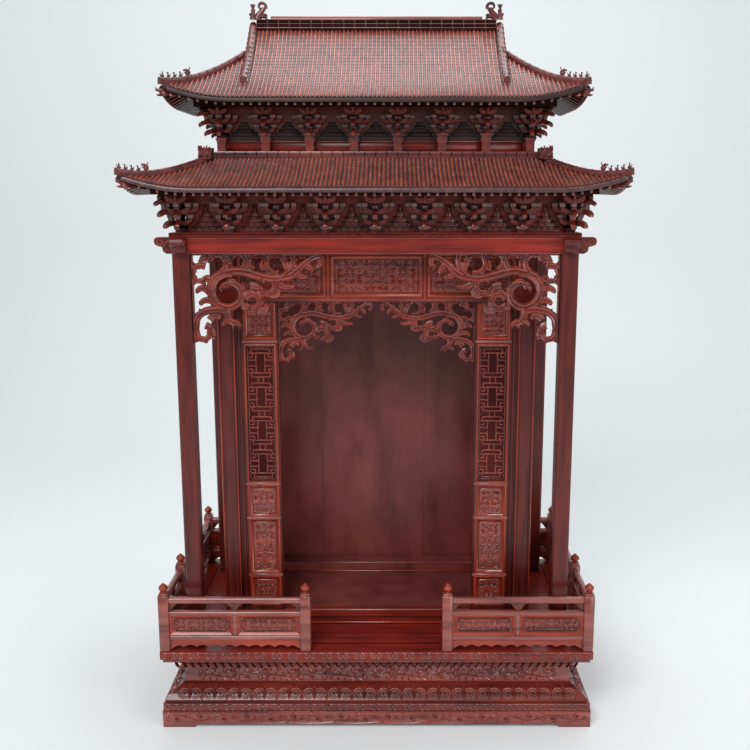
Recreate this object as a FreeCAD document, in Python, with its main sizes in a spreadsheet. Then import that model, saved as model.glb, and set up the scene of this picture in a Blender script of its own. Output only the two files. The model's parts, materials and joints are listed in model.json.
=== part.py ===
import FreeCAD, Part
import math
import os
import Sketcher
from FreeCAD import Placement, Rotation, Vector
from types import SimpleNamespace

# A carved shrine cabinet: a moulded plinth with a railed deck, four columns with tied beams,
# a niche body set back from them, and two tiers of bracketed, tiled roof.
# Millimetres. The origin is the middle of the underside, the front faces -Y, and Z is up.

SIZES = {
    # plinth, from the ground up
    "base_width": 800,
    "base_depth": 450,
    "foot_height": 32,
    "fret_height": 15,
    "fret_inset": 2,
    "fillet_height": 5,
    "fillet_inset": 6,
    "lotus_height": 21,
    "lotus_swell": 0.14,
    "waist_ledge": 3,
    "waist_height": 34,
    "waist_inset": 36,
    "cornice_height": 29,
    "cornice_top_inset": 4,
    "cornice_lip": 7,
    "cornice_hollow": 0.16,
    "deck_thickness": 16,
    "foot_arch_rise": 6,
    "foot_pad_length": 60,
    # railing round the deck
    "post_size": 19,
    "post_height": 113,
    "finial_neck": 3.6,
    "finial_height": 18.5,
    "finial_radius": 7.6,
    "finial_tip": 0.8,
    "gate_width": 242,
    "rail_thickness": 12,
    "top_rail_top": 104,
    "top_rail_height": 10.5,
    "middle_rail_top": 77.6,
    "middle_rail_height": 8,
    "lower_rail_top": 30,
    "lower_rail_height": 8,
    "rail_panel_thickness": 6,
    "panel_divider_width": 9,
    "apron_drop": 17,
    "apron_scallop_radius": 9,
    "cloud_bracket_width": 35,
    # columns and beams
    "column_size": 30,
    "column_corner": 3,
    "column_inset": 58.5,
    "column_height": 728,
    "beam_height": 28.6,
    "beam_nose_reach": 31,
    "beam_nose_thickness": 22,
    "plate_thickness": 8.1,
    "plate_reach": 3,
    "ceiling_thickness": 10,
    # niche body, set from the columns
    "body_side_walk": 45.5,
    "body_front_setback": 60,
    "body_rear_setback": 29.5,
    "body_board": 12,
    "sill_height": 29,
    "floor_thickness": 12,
    "header_height": 92,
    "header_thickness": 14,
    "header_panel_half_width": 83,
    "header_panel_gap": 6,
    "header_margin": 9,
    "leaf_width": 69,
    "leaf_thickness": 14,
    "leaf_stile": 9,
    "leaf_recess": 4,
    "strip_width": 12,
    "strip_setback": 5,
    "jamb_post_width": 32,
    "step_depth": 42,
    "step_height": 21,
    # leaf rails and panels, from the sill up; the lattice takes what is left
    "leaf_foot_rail": 13,
    "small_panel_height": 53,
    "leaf_lower_rail": 13,
    "tall_panel_height": 105,
    "leaf_middle_rail": 9,
    "square_panel_height": 58,
    "leaf_lattice_rail": 12,
    "leaf_crown_rail": 18,
    "crown_panel_height": 58,
    "leaf_head_rail": 8,
    "lattice_bar": 3.4,
    "lattice_depth": 6,
    "lattice_repeats": 4,
    # openwork spandrels
    "spandrel_length": 232,
    "spandrel_drop": 160,
    "spandrel_thickness": 14,
    "inner_spandrel_gap": 7,
    "inner_spandrel_drop": 115,
    "inner_spandrel_thickness": 10,
    # lower bracket zone and roof
    "frieze_thickness": 10,
    "seat_height": 12,
    "seat_width": 20,
    "arm_height": 12,
    "arm_block_height": 8,
    "arm_thickness": 8,
    "first_arm_length": 42,
    "second_arm_length": 66,
    "arm_step": 18,
    "arm_cap_height": 14,
    "purlin_width": 9,
    "front_bays": 8,
    "side_bays": 4,
    "lower_eave_overhang": 88.5,
    "lower_eave_over_set": 11.1,
    "lower_rise": 53.8,
    "roof_sag": 0.35,
    "roof_thickness": 8.2,
    "eave_lift": 25,
    "eave_lift_length": 125,
    "hip_width": 9,
    "hip_height": 9,
    "hip_beam_depth": 9,
    "beast_pitch": 12,
    "beast_height": 10,
    "ridge_band_height": 13.4,
    "ridge_band_width": 8,
    "corner_block_size": 24,
    "corner_block_height": 24,
    # upper storey and roof
    "upper_setback": 53.5,
    "upper_base_thickness": 34,
    "upper_set_inset": 12,
    "upper_wall_thickness": 10,
    "upper_post_height": 24,
    "upper_post_width": 15,
    "upper_seat_height": 8,
    "upper_seat_width": 21,
    "upper_arm_height": 10,
    "upper_arm_block_height": 6,
    "upper_first_arm_length": 36,
    "upper_second_arm_length": 60,
    "upper_arm_step": 18,
    "upper_cap_height": 12,
    "upper_front_bays": 7,
    "upper_side_bays": 3,
    "upper_eave_overhang": 78.5,
    "upper_eave_over_set": 10.5,
    "upper_rise": 139.5,
    "gable_setback": 131,
    "verge_overhang": 8,
    "gable_board": 8,
    "gable_ridge_width": 14,
    "gable_ridge_height": 13,
    "gable_ridge_stop": 51.5,
    "main_ridge_width": 13,
    "main_ridge_height": 16.5,
    "ridge_cap_radius": 6.5,
    "ridge_end_width": 36,
    "ridge_end_height": 32,
    "ridge_end_thickness": 13,
}


def make_sheet(document):
    """Write every driving size into a sheet cell of its own."""
    sheet = document.addObject("Spreadsheet::Sheet", "Sizes")
    for row, (name, value) in enumerate(SIZES.items(), start=1):
        sheet.set(f"A{row}", name)
        sheet.set(f"B{row}", str(value))
        sheet.setAlias(f"B{row}", name)
    document.recompute()
    return sheet


class Size:
    """A length from the sheet or worked out from it: its expression and its value."""

    def __init__(self, text, value):
        self.text = text
        self.value = float(value)

    def __float__(self):
        return self.value

    def __neg__(self):
        return Size(f"(-{self.text})", -self.value)

    def __add__(self, other):
        other = as_size(other)
        return Size(f"({self.text} + {other.text})", self.value + other.value)

    def __sub__(self, other):
        other = as_size(other)
        return Size(f"({self.text} - {other.text})", self.value - other.value)

    def __mul__(self, other):
        other = as_size(other)
        return Size(f"({self.text} * {other.text})", self.value * other.value)

    def __truediv__(self, other):
        other = as_size(other)
        return Size(f"({self.text} / {other.text})", self.value / other.value)

    def __radd__(self, other):
        return as_size(other) + self

    def __rsub__(self, other):
        return as_size(other) - self

    def __rmul__(self, other):
        return as_size(other) * self


def as_size(value):
    if isinstance(value, Size):
        return value
    return Size(f"({float(value)})", value)


doc = FreeCAD.newDocument("ShrineCabinet")
sheet = make_sheet(doc)
S = SimpleNamespace(**{name: Size(f"Sizes.{name}", sheet.get(name)) for name in SIZES})
nodes = []


def node(name, item):
    """Name a finished sub-part; the name is its label and its file's name."""
    item.Label = name
    nodes.append(item)
    return item


def bind(item, prop, length):
    item.setExpression(prop, as_size(length).text)


def place(item, x=0, y=0, z=0, turn=0):
    """Put an item at a worked-out place, turned about the vertical by whole degrees."""
    item.Placement = Placement(Vector(0, 0, 0), Rotation(Vector(0, 0, 1), turn))
    bind(item, "Placement.Base.x", x)
    bind(item, "Placement.Base.y", y)
    bind(item, "Placement.Base.z", z)


def centred(width):
    return (-(as_size(width) / 2), as_size(width) / 2)


def block(name, x, y, z):
    """A box between three pairs of faces, each pair given as (low, high)."""
    box = doc.addObject("Part::Box", name)
    for prop, axis, (low, high) in zip(("Length", "Width", "Height"), "xyz", (x, y, z)):
        bind(box, prop, as_size(high) - as_size(low))
        bind(box, "Placement.Base." + axis, low)
    return box


def cut(name, base, tool):
    result = doc.addObject("Part::Cut", name)
    result.Base = base
    result.Tool = tool
    return result


def fuse(name, items):
    result = doc.addObject("Part::MultiFuse", name)
    result.Shapes = items
    return result


def group(name, items):
    """Several solids of one kind that don't touch, kept as one sub-part."""
    result = doc.addObject("Part::Compound", name)
    result.Links = items
    return result


def mirrored(name, source, normal):
    result = doc.addObject("Part::Mirroring", name)
    result.Source = source
    result.Normal = normal
    return result


def feature(name, shape):
    result = doc.addObject("Part::Feature", name)
    result.Shape = shape
    return result


def ring(name, half_x, half_y, wall, z):
    """A closed rectangular frame of boards."""
    outer = block(name + "Outer", (-half_x, half_x), (-half_y, half_y), z)
    inner_x = half_x - wall
    inner_y = half_y - wall
    inner = block(name + "Inner", (-inner_x, inner_x), (-inner_y, inner_y), z)
    return cut(name, outer, inner)


# Levels, worked up from the ground
foot_top = S.foot_height
fret_top = foot_top + S.fret_height
fillet_top = fret_top + S.fillet_height
lotus_top = fillet_top + S.lotus_height
waist_top = lotus_top + S.waist_height
cornice_top = waist_top + S.cornice_height
deck_top = cornice_top + S.deck_thickness
column_top = deck_top + S.column_height
beam_top = column_top + S.beam_height
plate_top = beam_top + S.plate_thickness
half_width = S.base_width / 2
half_depth = S.base_depth / 2
column_x = half_width - S.column_inset
column_y = half_depth - S.column_inset
lotus_top_inset = S.waist_inset - S.waist_ledge
body_half_width = column_x - S.body_side_walk
body_front = column_y - S.body_front_setback
body_rear = column_y - S.body_rear_setback
sill_top = deck_top + S.sill_height
opening_top = column_top - S.header_height
opening_half_width = body_half_width - S.jamb_post_width - S.strip_width - S.leaf_width
upper_half_width = column_x - S.upper_setback
upper_half_depth = column_y - S.upper_setback
lower_set_height = S.seat_height + (S.arm_height + S.arm_block_height) * 2 + S.arm_cap_height
upper_set_height = (S.upper_post_height + S.upper_seat_height + S.upper_cap_height
                    + (S.upper_arm_height + S.upper_arm_block_height) * 2)
gable_half_width = upper_half_width + S.upper_eave_overhang - S.gable_setback


# Shapes drawn with edges


def polygon_face(points):
    points = [Vector(*point) for point in points]
    return Part.Face(Part.makePolygon(points + points[:1]))


def prism(points, reach):
    return polygon_face(points).extrude(Vector(*reach))


def planar_loft(rings):
    """A solid skinned over like rings of points, one flat face for each side of each ring."""
    faces = [polygon_face(rings[0]), polygon_face(rings[-1])]
    for lower, upper in zip(rings, rings[1:]):
        for i in range(len(lower)):
            j = (i + 1) % len(lower)
            faces.append(polygon_face([lower[i], lower[j], upper[j], upper[i]]))
    solid = Part.makeSolid(Part.makeShell(faces))
    if solid.Volume < 0:
        solid.reverse()
    return solid


def fused(shapes):
    return shapes[0].multiFuse(shapes[1:]).removeSplitter()


def plan_prism(points, low, high):
    """A vertical prism over a plan outline."""
    return prism([(x, y, low) for x, y in points], (0, 0, high - low))


def moulded_block(outline, half_x, half_y):
    """One moulding run round all four sides of a block, through (inset, level) points."""
    return planar_loft([[((half_x - inset) * x, (half_y - inset) * y, level)
                         for x, y in ((-1, -1), (1, -1), (1, 1), (-1, 1))] for inset, level in outline])


def quarter_curve(start, end, bulge, steps=5):
    """Points of a hollow or a swelling between two (inset, level) points."""
    points = []
    for i in range(1, steps + 1):
        t = i / steps
        side = bulge * math.sin(math.pi * t)
        points.append((start[0] + (end[0] - start[0]) * t + side, start[1] + (end[1] - start[1]) * t))
    return points


# Plinth


def build_plinth():
    width, depth = centred(S.base_width), centred(S.base_depth)
    foot = block("FootBlock", width, depth, (0, foot_top))
    arches = []
    for name, x, y in (("FrontArch", centred(S.base_width - S.foot_pad_length * 2), depth),
                       ("SideArch", width, centred(S.base_depth - S.foot_pad_length * 2))):
        arches.append(block(name, x, y, (0, S.foot_arch_rise)))
    node("base_foot", cut("Foot", foot, fuse("FootArches", arches)))

    inset = S.fret_inset * 2
    node("base_fret_band", block("FretBand", centred(S.base_width - inset),
                                 centred(S.base_depth - inset), (foot_top, fret_top)))

    low, high = fret_top.value, lotus_top.value
    step, top_inset = S.fillet_inset.value, lotus_top_inset.value
    swell = (top_inset - step) * S.lotus_swell.value
    lotus = [(step, low), (step, fillet_top.value)]
    lotus += quarter_curve((step, fillet_top.value), (top_inset, high), -swell)
    node("base_lotus_band", feature("LotusBand",
         moulded_block(lotus, half_width.value, half_depth.value)))

    inset = S.waist_inset * 2
    node("base_waist", block("Waist", centred(S.base_width - inset),
                             centred(S.base_depth - inset), (lotus_top, waist_top)))

    low, high = waist_top.value, cornice_top.value
    bottom_inset, top_inset = lotus_top_inset.value, S.cornice_top_inset.value
    lip = S.cornice_lip.value
    hollow = (bottom_inset - top_inset) * S.cornice_hollow.value
    cove = [(bottom_inset, low), (bottom_inset, low + lip / 2)]
    cove += quarter_curve((bottom_inset, low + lip / 2), (top_inset, high - lip), hollow)
    cove.append((top_inset, high))
    node("base_cornice", feature("Cornice", moulded_block(cove, half_width.value, half_depth.value)))
    node("deck", block("Deck", width, depth, (cornice_top, deck_top)))


# Railing


def turned_post(name, x, y):
    """A square post with a turned bud on a short neck."""
    body = doc.addObject("PartDesign::Body", name)
    origin = {item.Role: item for item in body.Origin.OriginFeatures}
    outline = body.newObject("Sketcher::SketchObject", name + "Outline")
    outline.AttachmentSupport = (origin["XY_Plane"], [""])
    outline.MapMode = "FlatFace"
    rectangle(outline, S.post_size, S.post_size)
    pad = body.newObject("PartDesign::Pad", name + "Shaft")
    pad.Profile = outline
    bind(pad, "Length", S.post_height)

    place(body, x, y, deck_top)
    bud = feature(name + "Bud", bud_shape())
    place(bud, x, y, deck_top + S.post_height)
    return fuse(name + "Turned", [body, bud])


def bud_shape():
    """An eight-sided bud: a short neck, a swelling and a pointed cap."""
    neck, radius, height = S.finial_neck.value, S.finial_radius.value, S.finial_height.value
    outline = ((neck, 0), (neck, neck * 0.6), (radius, neck + radius * 0.6), (S.finial_tip.value, height))
    angles = [math.pi * (i + 0.5) / 4 for i in range(8)]
    return planar_loft([[(wide * math.cos(angle), wide * math.sin(angle), level) for angle in angles]
                        for wide, level in outline])


def rectangle(sketch, length, height):
    """A rectangle centred on the sketch's origin, with its two sizes bound to the sheet."""
    half_l, half_h = float(length) / 2, float(height) / 2
    corners = [Vector(-half_l, -half_h, 0), Vector(half_l, -half_h, 0),
               Vector(half_l, half_h, 0), Vector(-half_l, half_h, 0)]
    sketch.addGeometry([Part.LineSegment(corners[i], corners[(i + 1) % 4]) for i in range(4)], False)
    for i in range(4):
        sketch.addConstraint(Sketcher.Constraint("Coincident", i, 2, (i + 1) % 4, 1))
    for i, kind in enumerate(("Horizontal", "Vertical", "Horizontal", "Vertical")):
        sketch.addConstraint(Sketcher.Constraint(kind, i))
    sketch.addConstraint(Sketcher.Constraint("Symmetric", 0, 1, 1, 2, -1, 1))
    for name, kind, line, length_size in (("length", "DistanceX", 0, length),
                                          ("height", "DistanceY", 1, height)):
        index = sketch.addConstraint(
            Sketcher.Constraint(kind, line, 1, line, 2, float(length_size)))
        sketch.renameConstraint(index, name)
        bind(sketch, "Constraints." + name, length_size)


def railing_section(name, length, panels):
    """Rails, panels, scalloped apron and cloud brackets between two posts, from x = 0."""
    def rail(part, top, height, thickness):
        return block(name + part, (0, length), centred(thickness), (top - height, top))

    panel_low = S.lower_rail_top
    panel_high = S.middle_rail_top - S.middle_rail_height
    apron_top = S.lower_rail_top - S.lower_rail_height
    items = [
        rail("TopRail", S.top_rail_top, S.top_rail_height, S.rail_thickness),
        rail("MiddleRail", S.middle_rail_top, S.middle_rail_height, S.rail_thickness),
        rail("LowerRail", S.lower_rail_top, S.lower_rail_height, S.rail_thickness),
        block(name + "Panel", (0, length), centred(S.rail_panel_thickness), (panel_low, panel_high)),
    ]
    for i in range(1, panels):
        middle = length * i / panels
        items.append(block(f"{name}Divider{i}",
                           (middle - S.panel_divider_width / 2, middle + S.panel_divider_width / 2),
                           centred(S.rail_thickness), (panel_low, panel_high)))

    apron = block(name + "Apron", (0, length), centred(S.rail_panel_thickness),
                  (apron_top - S.apron_drop, apron_top))
    scallops = []
    count = panels * 2
    for i in range(count):
        scallop = doc.addObject("Part::Prism", f"{name}Scallop{i}")
        scallop.Polygon = 6
        bind(scallop, "Circumradius", S.apron_scallop_radius)
        bind(scallop, "Height", S.rail_panel_thickness * 2)
        scallop.Placement = Placement(Vector(0, 0, 0), Rotation(Vector(1, 0, 0), -90))
        bind(scallop, "Placement.Base.x", length * (i + 0.5) / count)
        bind(scallop, "Placement.Base.y", -S.rail_panel_thickness)
        bind(scallop, "Placement.Base.z", apron_top - S.apron_drop - S.apron_scallop_radius * 0.35)
        scallops.append(scallop)
    items.append(cut(name + "ScallopedApron", apron, group(name + "Scallops", scallops)))

    low = S.middle_rail_top
    high = S.top_rail_top - S.top_rail_height
    wide = S.cloud_bracket_width
    for part, x, left, right in (("StartCloud", as_size(0), 0, 0.5), ("MiddleCloud", length / 2, 0.5, 0.5),
                                 ("EndCloud", length, 0.5, 0)):
        cloud = doc.addObject("Part::Wedge", name + part)
        for prop, value in (("Xmin", -(wide * left * 0.4)), ("Xmax", wide * right * 0.4),
                            ("X2min", -(wide * left)), ("X2max", wide * right),
                            ("Ymin", 0), ("Ymax", high - low),
                            ("Zmin", -(S.rail_panel_thickness / 2)), ("Zmax", S.rail_panel_thickness / 2),
                            ("Z2min", -(S.rail_panel_thickness / 2)), ("Z2max", S.rail_panel_thickness / 2)):
            bind(cloud, prop, value)
        cloud.Placement = Placement(Vector(0, 0, 0), Rotation(Vector(1, 0, 0), 90))
        bind(cloud, "Placement.Base.x", x)
        bind(cloud, "Placement.Base.z", low)
        items.append(cloud)
    return fuse(name, items)


def build_railing():
    edge_x = half_width - S.post_size / 2
    edge_y = half_depth - S.post_size / 2
    gate_x = (S.gate_width + S.post_size) / 2
    third_y = edge_y / 3
    post_places = []
    for side_x in (-1, 1):
        for y in (-edge_y, -third_y, third_y, edge_y):
            post_places.append((edge_x * side_x, y))
        for y in (-edge_y, edge_y):
            post_places.append((gate_x * side_x, y))
    posts = [turned_post(f"RailPost{i}", x, y) for i, (x, y) in enumerate(post_places)]
    node("railing_posts", group("RailPosts", posts))

    front_length = edge_x - gate_x - S.post_size
    side_length = third_y * 2 - S.post_size
    rear_length = gate_x * 2 - S.post_size
    fronts = []
    for side, start in (("left", -edge_x + S.post_size / 2), ("right", gate_x + S.post_size / 2)):
        front = railing_section("RailingFront" + side.title(), front_length, 2)
        place(front, start, -edge_y, deck_top)
        fronts.append(front)
    node("railing_front", group("RailingFront", fronts))
    sections = []
    for side, x in (("left", -edge_x), ("right", edge_x)):
        for i in range(3):
            section = railing_section(f"Railing{side.title()}{i}", side_length, 1)
            start = -edge_y + third_y * (2 * i) + S.post_size / 2
            place(section, x, start, deck_top, 90)
            sections.append(section)
    node("railing_sides", group("RailingSides", sections))
    sections = []
    for i, (start, length, panels) in enumerate(((-edge_x + S.post_size / 2, front_length, 2),
                                                 (-gate_x + S.post_size / 2, rear_length, 2),
                                                 (gate_x + S.post_size / 2, front_length, 2))):
        section = railing_section(f"RailingRear{i}", length, panels)
        place(section, start, edge_y, deck_top)
        sections.append(section)
    node("railing_rear", group("RailingRear", sections))


# Columns and beams


def build_columns():
    """Four square columns with softened arrises."""
    for depth_name, side_y in (("front", -1), ("rear", 1)):
        pair = []
        for side_name, side_x in (("left", -1), ("right", 1)):
            name = f"Column{depth_name.title()}{side_name.title()}"
            body = doc.addObject("PartDesign::Body", name)
            origin = {item.Role: item for item in body.Origin.OriginFeatures}
            section = body.newObject("Sketcher::SketchObject", name + "Section")
            section.AttachmentSupport = (origin["XY_Plane"], [""])
            section.MapMode = "FlatFace"
            rectangle(section, S.column_size, S.column_size)
            shaft = body.newObject("PartDesign::Pad", name + "Shaft")
            shaft.Profile = section
            bind(shaft, "Length", S.column_height)
            doc.recompute()
            upright = [f"Edge{i}" for i, edge in enumerate(shaft.Shape.Edges, start=1)
                       if abs(edge.BoundBox.ZLength - S.column_height.value) < 0.01]
            arris = body.newObject("PartDesign::Chamfer", name + "Arris")
            arris.Base = (shaft, upright)
            bind(arris, "Size", S.column_corner)
            place(body, column_x * side_x, column_y * side_y, deck_top)
            pair.append(body)
        node("columns_" + depth_name, group("Columns" + depth_name.title(), pair))


def build_beams():
    outer_x = column_x + S.column_size / 2
    outer_y = column_y + S.column_size / 2
    inner_x = column_x - S.column_size / 2
    inner_y = column_y - S.column_size / 2
    z = (column_top, beam_top)
    node("long_beams", group("LongBeams", [
        block("BeamFront", (-outer_x, outer_x), (-outer_y, -inner_y), z),
        block("BeamRear", (-outer_x, outer_x), (inner_y, outer_y), z)]))
    node("cross_beams", group("CrossBeams", [
        block("BeamLeft", (-outer_x, -inner_x), (-inner_y, inner_y), z),
        block("BeamRight", (inner_x, outer_x), (-inner_y, inner_y), z)]))
    node("beam_plate", ring("BeamPlate", outer_x + S.plate_reach, outer_y + S.plate_reach,
                            S.column_size + S.plate_reach * 2, (beam_top, plate_top)))
    node("ceiling_board", block("CeilingBoard", (-inner_x, inner_x), (-inner_y, inner_y),
                                (column_top, column_top + S.ceiling_thickness)))

    # a rounded nose over a stepped throat
    reach, high = S.beam_nose_reach.value, S.beam_height.value
    width = S.beam_nose_thickness.value
    outline = ((0, 0), (0.3, 0), (0.5, 0.14), (0.56, 0.42), (0.76, 0.46), (0.95, 0.56), (1, 0.76),
               (0.96, 0.92), (0.86, 1), (0, 1))
    nose = prism([(reach * x, -width / 2, high * z) for x, z in outline], (0, width, 0))
    noses = []
    for side_x in (-1, 1):
        for side_y in (-1, 1):
            sideways = nose.copy()
            sideways.rotate(Vector(0, 0, 0), Vector(0, 0, 1), 0 if side_x > 0 else 180)
            sideways.translate(Vector(side_x * outer_x.value, side_y * column_y.value, column_top.value))
            forward = nose.copy()
            forward.rotate(Vector(0, 0, 0), Vector(0, 0, 1), 90 * side_y)
            forward.translate(Vector(side_x * column_x.value, side_y * outer_y.value, column_top.value))
            noses += [sideways, forward]
    node("beam_noses", feature("BeamNoses", Part.makeCompound(noses)))


# Niche body


def build_body():
    front, rear = -body_front, body_rear
    wide = body_half_width
    board = S.body_board
    leaf_back = front + S.leaf_thickness
    back_face = rear - board
    step_front = back_face - S.step_depth

    node("niche_sill", block("NicheSill", (-wide, wide), (front, leaf_back), (deck_top, sill_top)))
    node("niche_floor", block("NicheFloor", (board - wide, wide - board), (leaf_back, step_front),
                              (sill_top - S.floor_thickness, sill_top)))
    node("body_back", block("BodyBack", (-wide, wide), (back_face, rear), (deck_top, column_top)))
    node("back_step", block("BackStep", (board - wide, wide - board), (step_front, back_face),
                            (sill_top - S.floor_thickness, sill_top + S.step_height)))
    node("body_sides", group("BodySides", [
        block("BodySide" + side, x, (leaf_back, back_face), (deck_top, column_top))
        for side, x in (("Left", (-wide, board - wide)), ("Right", (wide - board, wide)))]))

    header = block("HeaderBoard", (-wide, wide), (front, front + S.header_thickness),
                   (opening_top, column_top))
    recess_y = (front, front + S.leaf_recess)
    panel_z = (opening_top + S.header_margin, column_top - S.header_margin)
    middle = S.header_panel_half_width
    outer_low = middle + S.header_panel_gap * 2
    outer_high = wide - S.jamb_post_width - S.header_margin
    recesses = [block("HeaderMiddlePanel", (-middle, middle), recess_y, panel_z),
                block("HeaderRightPanel", (outer_low, outer_high), recess_y, panel_z),
                block("HeaderLeftPanel", (-outer_high, -outer_low), recess_y, panel_z)]
    node("body_header", cut("BodyHeader", header, group("HeaderPanels", recesses)))

    post_x = (wide - S.jamb_post_width, wide)
    strip_x = (wide - S.jamb_post_width - S.strip_width, wide - S.jamb_post_width)
    post = block("JambPost", post_x, (front, leaf_back), (sill_top, opening_top))
    strip = block("JambStrip", strip_x, (front + S.strip_setback, leaf_back), (sill_top, opening_top))
    right_post = fuse("JambRight", [post, strip])
    node("front_posts", group("FrontPosts", [right_post,
                                             mirrored("JambLeft", right_post, Vector(1, 0, 0))]))

    leaf_x = (opening_half_width, opening_half_width + S.leaf_width)
    leaf = block("LeafBoard", leaf_x, (front, leaf_back), (sill_top, opening_top))
    inner_x = (leaf_x[0] + S.leaf_stile, leaf_x[1] - S.leaf_stile)
    small = (sill_top + S.leaf_foot_rail, sill_top + S.leaf_foot_rail + S.small_panel_height)
    tall = (small[1] + S.leaf_lower_rail, small[1] + S.leaf_lower_rail + S.tall_panel_height)
    square = (tall[1] + S.leaf_middle_rail, tall[1] + S.leaf_middle_rail + S.square_panel_height)
    crown = (opening_top - S.leaf_head_rail - S.crown_panel_height, opening_top - S.leaf_head_rail)
    lattice_z = (square[1] + S.leaf_lattice_rail, crown[0] - S.leaf_crown_rail)
    cuts = [block("LatticeOpening", inner_x, (front, leaf_back), lattice_z)]
    for name, level in (("Small", small), ("Tall", tall), ("Square", square), ("Crown", crown)):
        cuts.append(block(name + "PanelRecess", inner_x, recess_y, level))
    right_leaf = cut("LeafRight", leaf, group("LeafCuts", cuts))
    node("leaf_right", right_leaf)
    node("leaf_left", mirrored("LeafLeft", right_leaf, Vector(1, 0, 0)))

    lattice = feature("LatticeRight", lattice_shape(inner_x, front, lattice_z))
    node("leaf_lattices", group("LeafLattices", [lattice,
                                                 mirrored("LatticeLeft", lattice, Vector(1, 0, 0))]))


def lattice_shape(inner_x, front, lattice_z):
    """Upright repeats: a tall rectangle inside a stepped frame, tied to the stiles by stubs."""
    low_x, high_x = inner_x[0].value, inner_x[1].value
    bar, depth = S.lattice_bar.value, S.lattice_depth.value
    back = front.value + (S.leaf_thickness.value + depth) / 2
    bottom = lattice_z[0].value
    repeats = int(S.lattice_repeats.value)
    pitch = (lattice_z[1] - lattice_z[0]).value / repeats
    width = high_x - low_x

    def bar_box(x0, x1, z0, z1):
        box = Part.makeBox(x1 - x0, depth, z1 - z0)
        box.translate(Vector(x0, back - depth, z0))
        return box

    def upright(x, z0, z1):
        return bar_box(x - bar / 2, x + bar / 2, z0, z1)

    def level(x0, x1, z):
        return bar_box(x0 - bar / 2, x1 + bar / 2, z - bar / 2, z + bar / 2)

    middle = (low_x + high_x) / 2
    inner, outer = width * 0.16, width * 0.33
    bars = []
    for i in range(repeats):
        low = bottom + i * pitch
        high = low + pitch
        step = pitch * 0.17
        for side in (-1, 1):
            bars.append(upright(middle + side * inner, low + step, high - step))
            bars.append(upright(middle + side * outer, low + step * 2, high - step * 2))
            for z in (low + step * 2, high - step * 2):
                ends = sorted((middle + side * inner, middle + side * outer))
                bars.append(level(ends[0], ends[1], z))
            ends = sorted((middle + side * (outer + bar / 2), middle + side * (width / 2 - bar / 2)))
            bars.append(level(ends[0], ends[1], (low + high) / 2))
        for z in (low + step, high - step):
            bars.append(level(middle - inner, middle + inner, z))
        stub_low = bottom if i == 0 else low - step
        bars.append(upright(middle, stub_low, low + step))
    bars.append(upright(middle, bottom + repeats * pitch - step, bottom + repeats * pitch))
    return fused(bars)


# Spandrels and scrolls


def band(centre_line, widths, thickness, wide, high):
    """A flat strip along a line of (x, z) points, with a width at each point, scaled both ways."""
    sides = ([], [])
    last = len(centre_line) - 1
    for i, (x, z) in enumerate(centre_line):
        before, after = centre_line[max(i - 1, 0)], centre_line[min(i + 1, last)]
        run = math.hypot(after[0] - before[0], after[1] - before[1])
        across = ((before[1] - after[1]) / run, (after[0] - before[0]) / run)
        for line, side in zip(sides, (1, -1)):
            reach = side * widths[i] / 2
            line.append(((x + across[0] * reach) * wide, -thickness / 2, (z + across[1] * reach) * high))
    return prism(sides[0] + sides[1][::-1], (0, thickness, 0))


def curl(centre, radius, start, sweep, wide, tighten=0.5):
    """Points and widths of a scroll that winds from its start angle and gets tighter and thinner."""
    steps = max(3, round(abs(sweep) / 56))
    shares = [i / steps for i in range(steps + 1)]
    line = []
    for share in shares:
        angle = math.radians(start + sweep * share)
        reach = radius * (1 - (1 - tighten) * share * share)
        line.append((centre[0] + reach * math.cos(angle), centre[1] + reach * math.sin(angle)))
    return line, [wide * (1 - 0.45 * share) for share in shares]


def bend(ends, handles, wide, steps=4):
    """Points and widths of a leaf along one smooth bend between two ends."""
    line, widths = [], []
    for i in range(steps + 1):
        t = i / steps
        shares = ((1 - t) ** 3, 3 * t * (1 - t) ** 2, 3 * t * t * (1 - t), t ** 3)
        points = (ends[0], handles[0], handles[1], ends[1])
        line.append(tuple(sum(share * point[n] for share, point in zip(shares, points)) for n in (0, 1)))
        widths.append(wide[0] + (wide[1] - wide[0]) * t)
    return line, widths


SPANDREL_FIELD = (232, 160)
SPANDREL_RIM = 4


def spandrel_shape(length, drop, thickness):
    """An openwork bracket: a big scroll by the upright, a stem along the beam, and small curls.

    The strokes are drawn on the field, x from the upright and z from the beam, and scaled to size.
    """
    strokes = [
        curl((66, -67), 34, 80, 430, 14, 0.22),
        bend(((62, -34), (166, -41)), ((98, -20), (128, -54)), (13, 11)),
        bend(((160, -42), (230, -4)), ((192, -42), (196, -7)), (12, 8)),
        bend(((164, -40), (181, 0)), ((178, -34), (184, -18)), (9, 7), 2),
        curl((150, -18), 17, 290, -250, 9, 0.9),
        curl((116, -14), 15, 250, -240, 8, 0.8),
        curl((83, -13), 15, 300, 230, 8, 0.8),
        curl((46, -17), 17, 300, 240, 9, 0.8),
        curl((17, -37), 16, 60, 260, 9, 0.7),
        bend(((62, -101), (7, -138)), ((24, -94), (-2, -108)), (12, 9)),
        curl((19, -141), 14, 160, 230, 9, 0.7),
        curl((134, -58), 16, 130, -270, 11, 0.5),
        curl((107, -86), 15, 150, -270, 11, 0.5),
        bend(((62, -98), (80, -124)), ((58, -112), (66, -124)), (11, 7), 3),
    ]
    wide, high = length / SPANDREL_FIELD[0], drop / SPANDREL_FIELD[1]
    plates = [band(line, widths, thickness, wide, high) for line, widths in strokes]
    top_rim, side_rim = SPANDREL_RIM * high, SPANDREL_RIM * wide
    plates += [Part.makeBox(length, thickness, top_rim, Vector(0, -thickness / 2, -top_rim)),
               Part.makeBox(side_rim, thickness, drop, Vector(0, -thickness / 2, -drop))]
    field = Part.makeBox(length, thickness, drop, Vector(0, -thickness / 2, -drop))
    return fused(plates).common(field)


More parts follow.
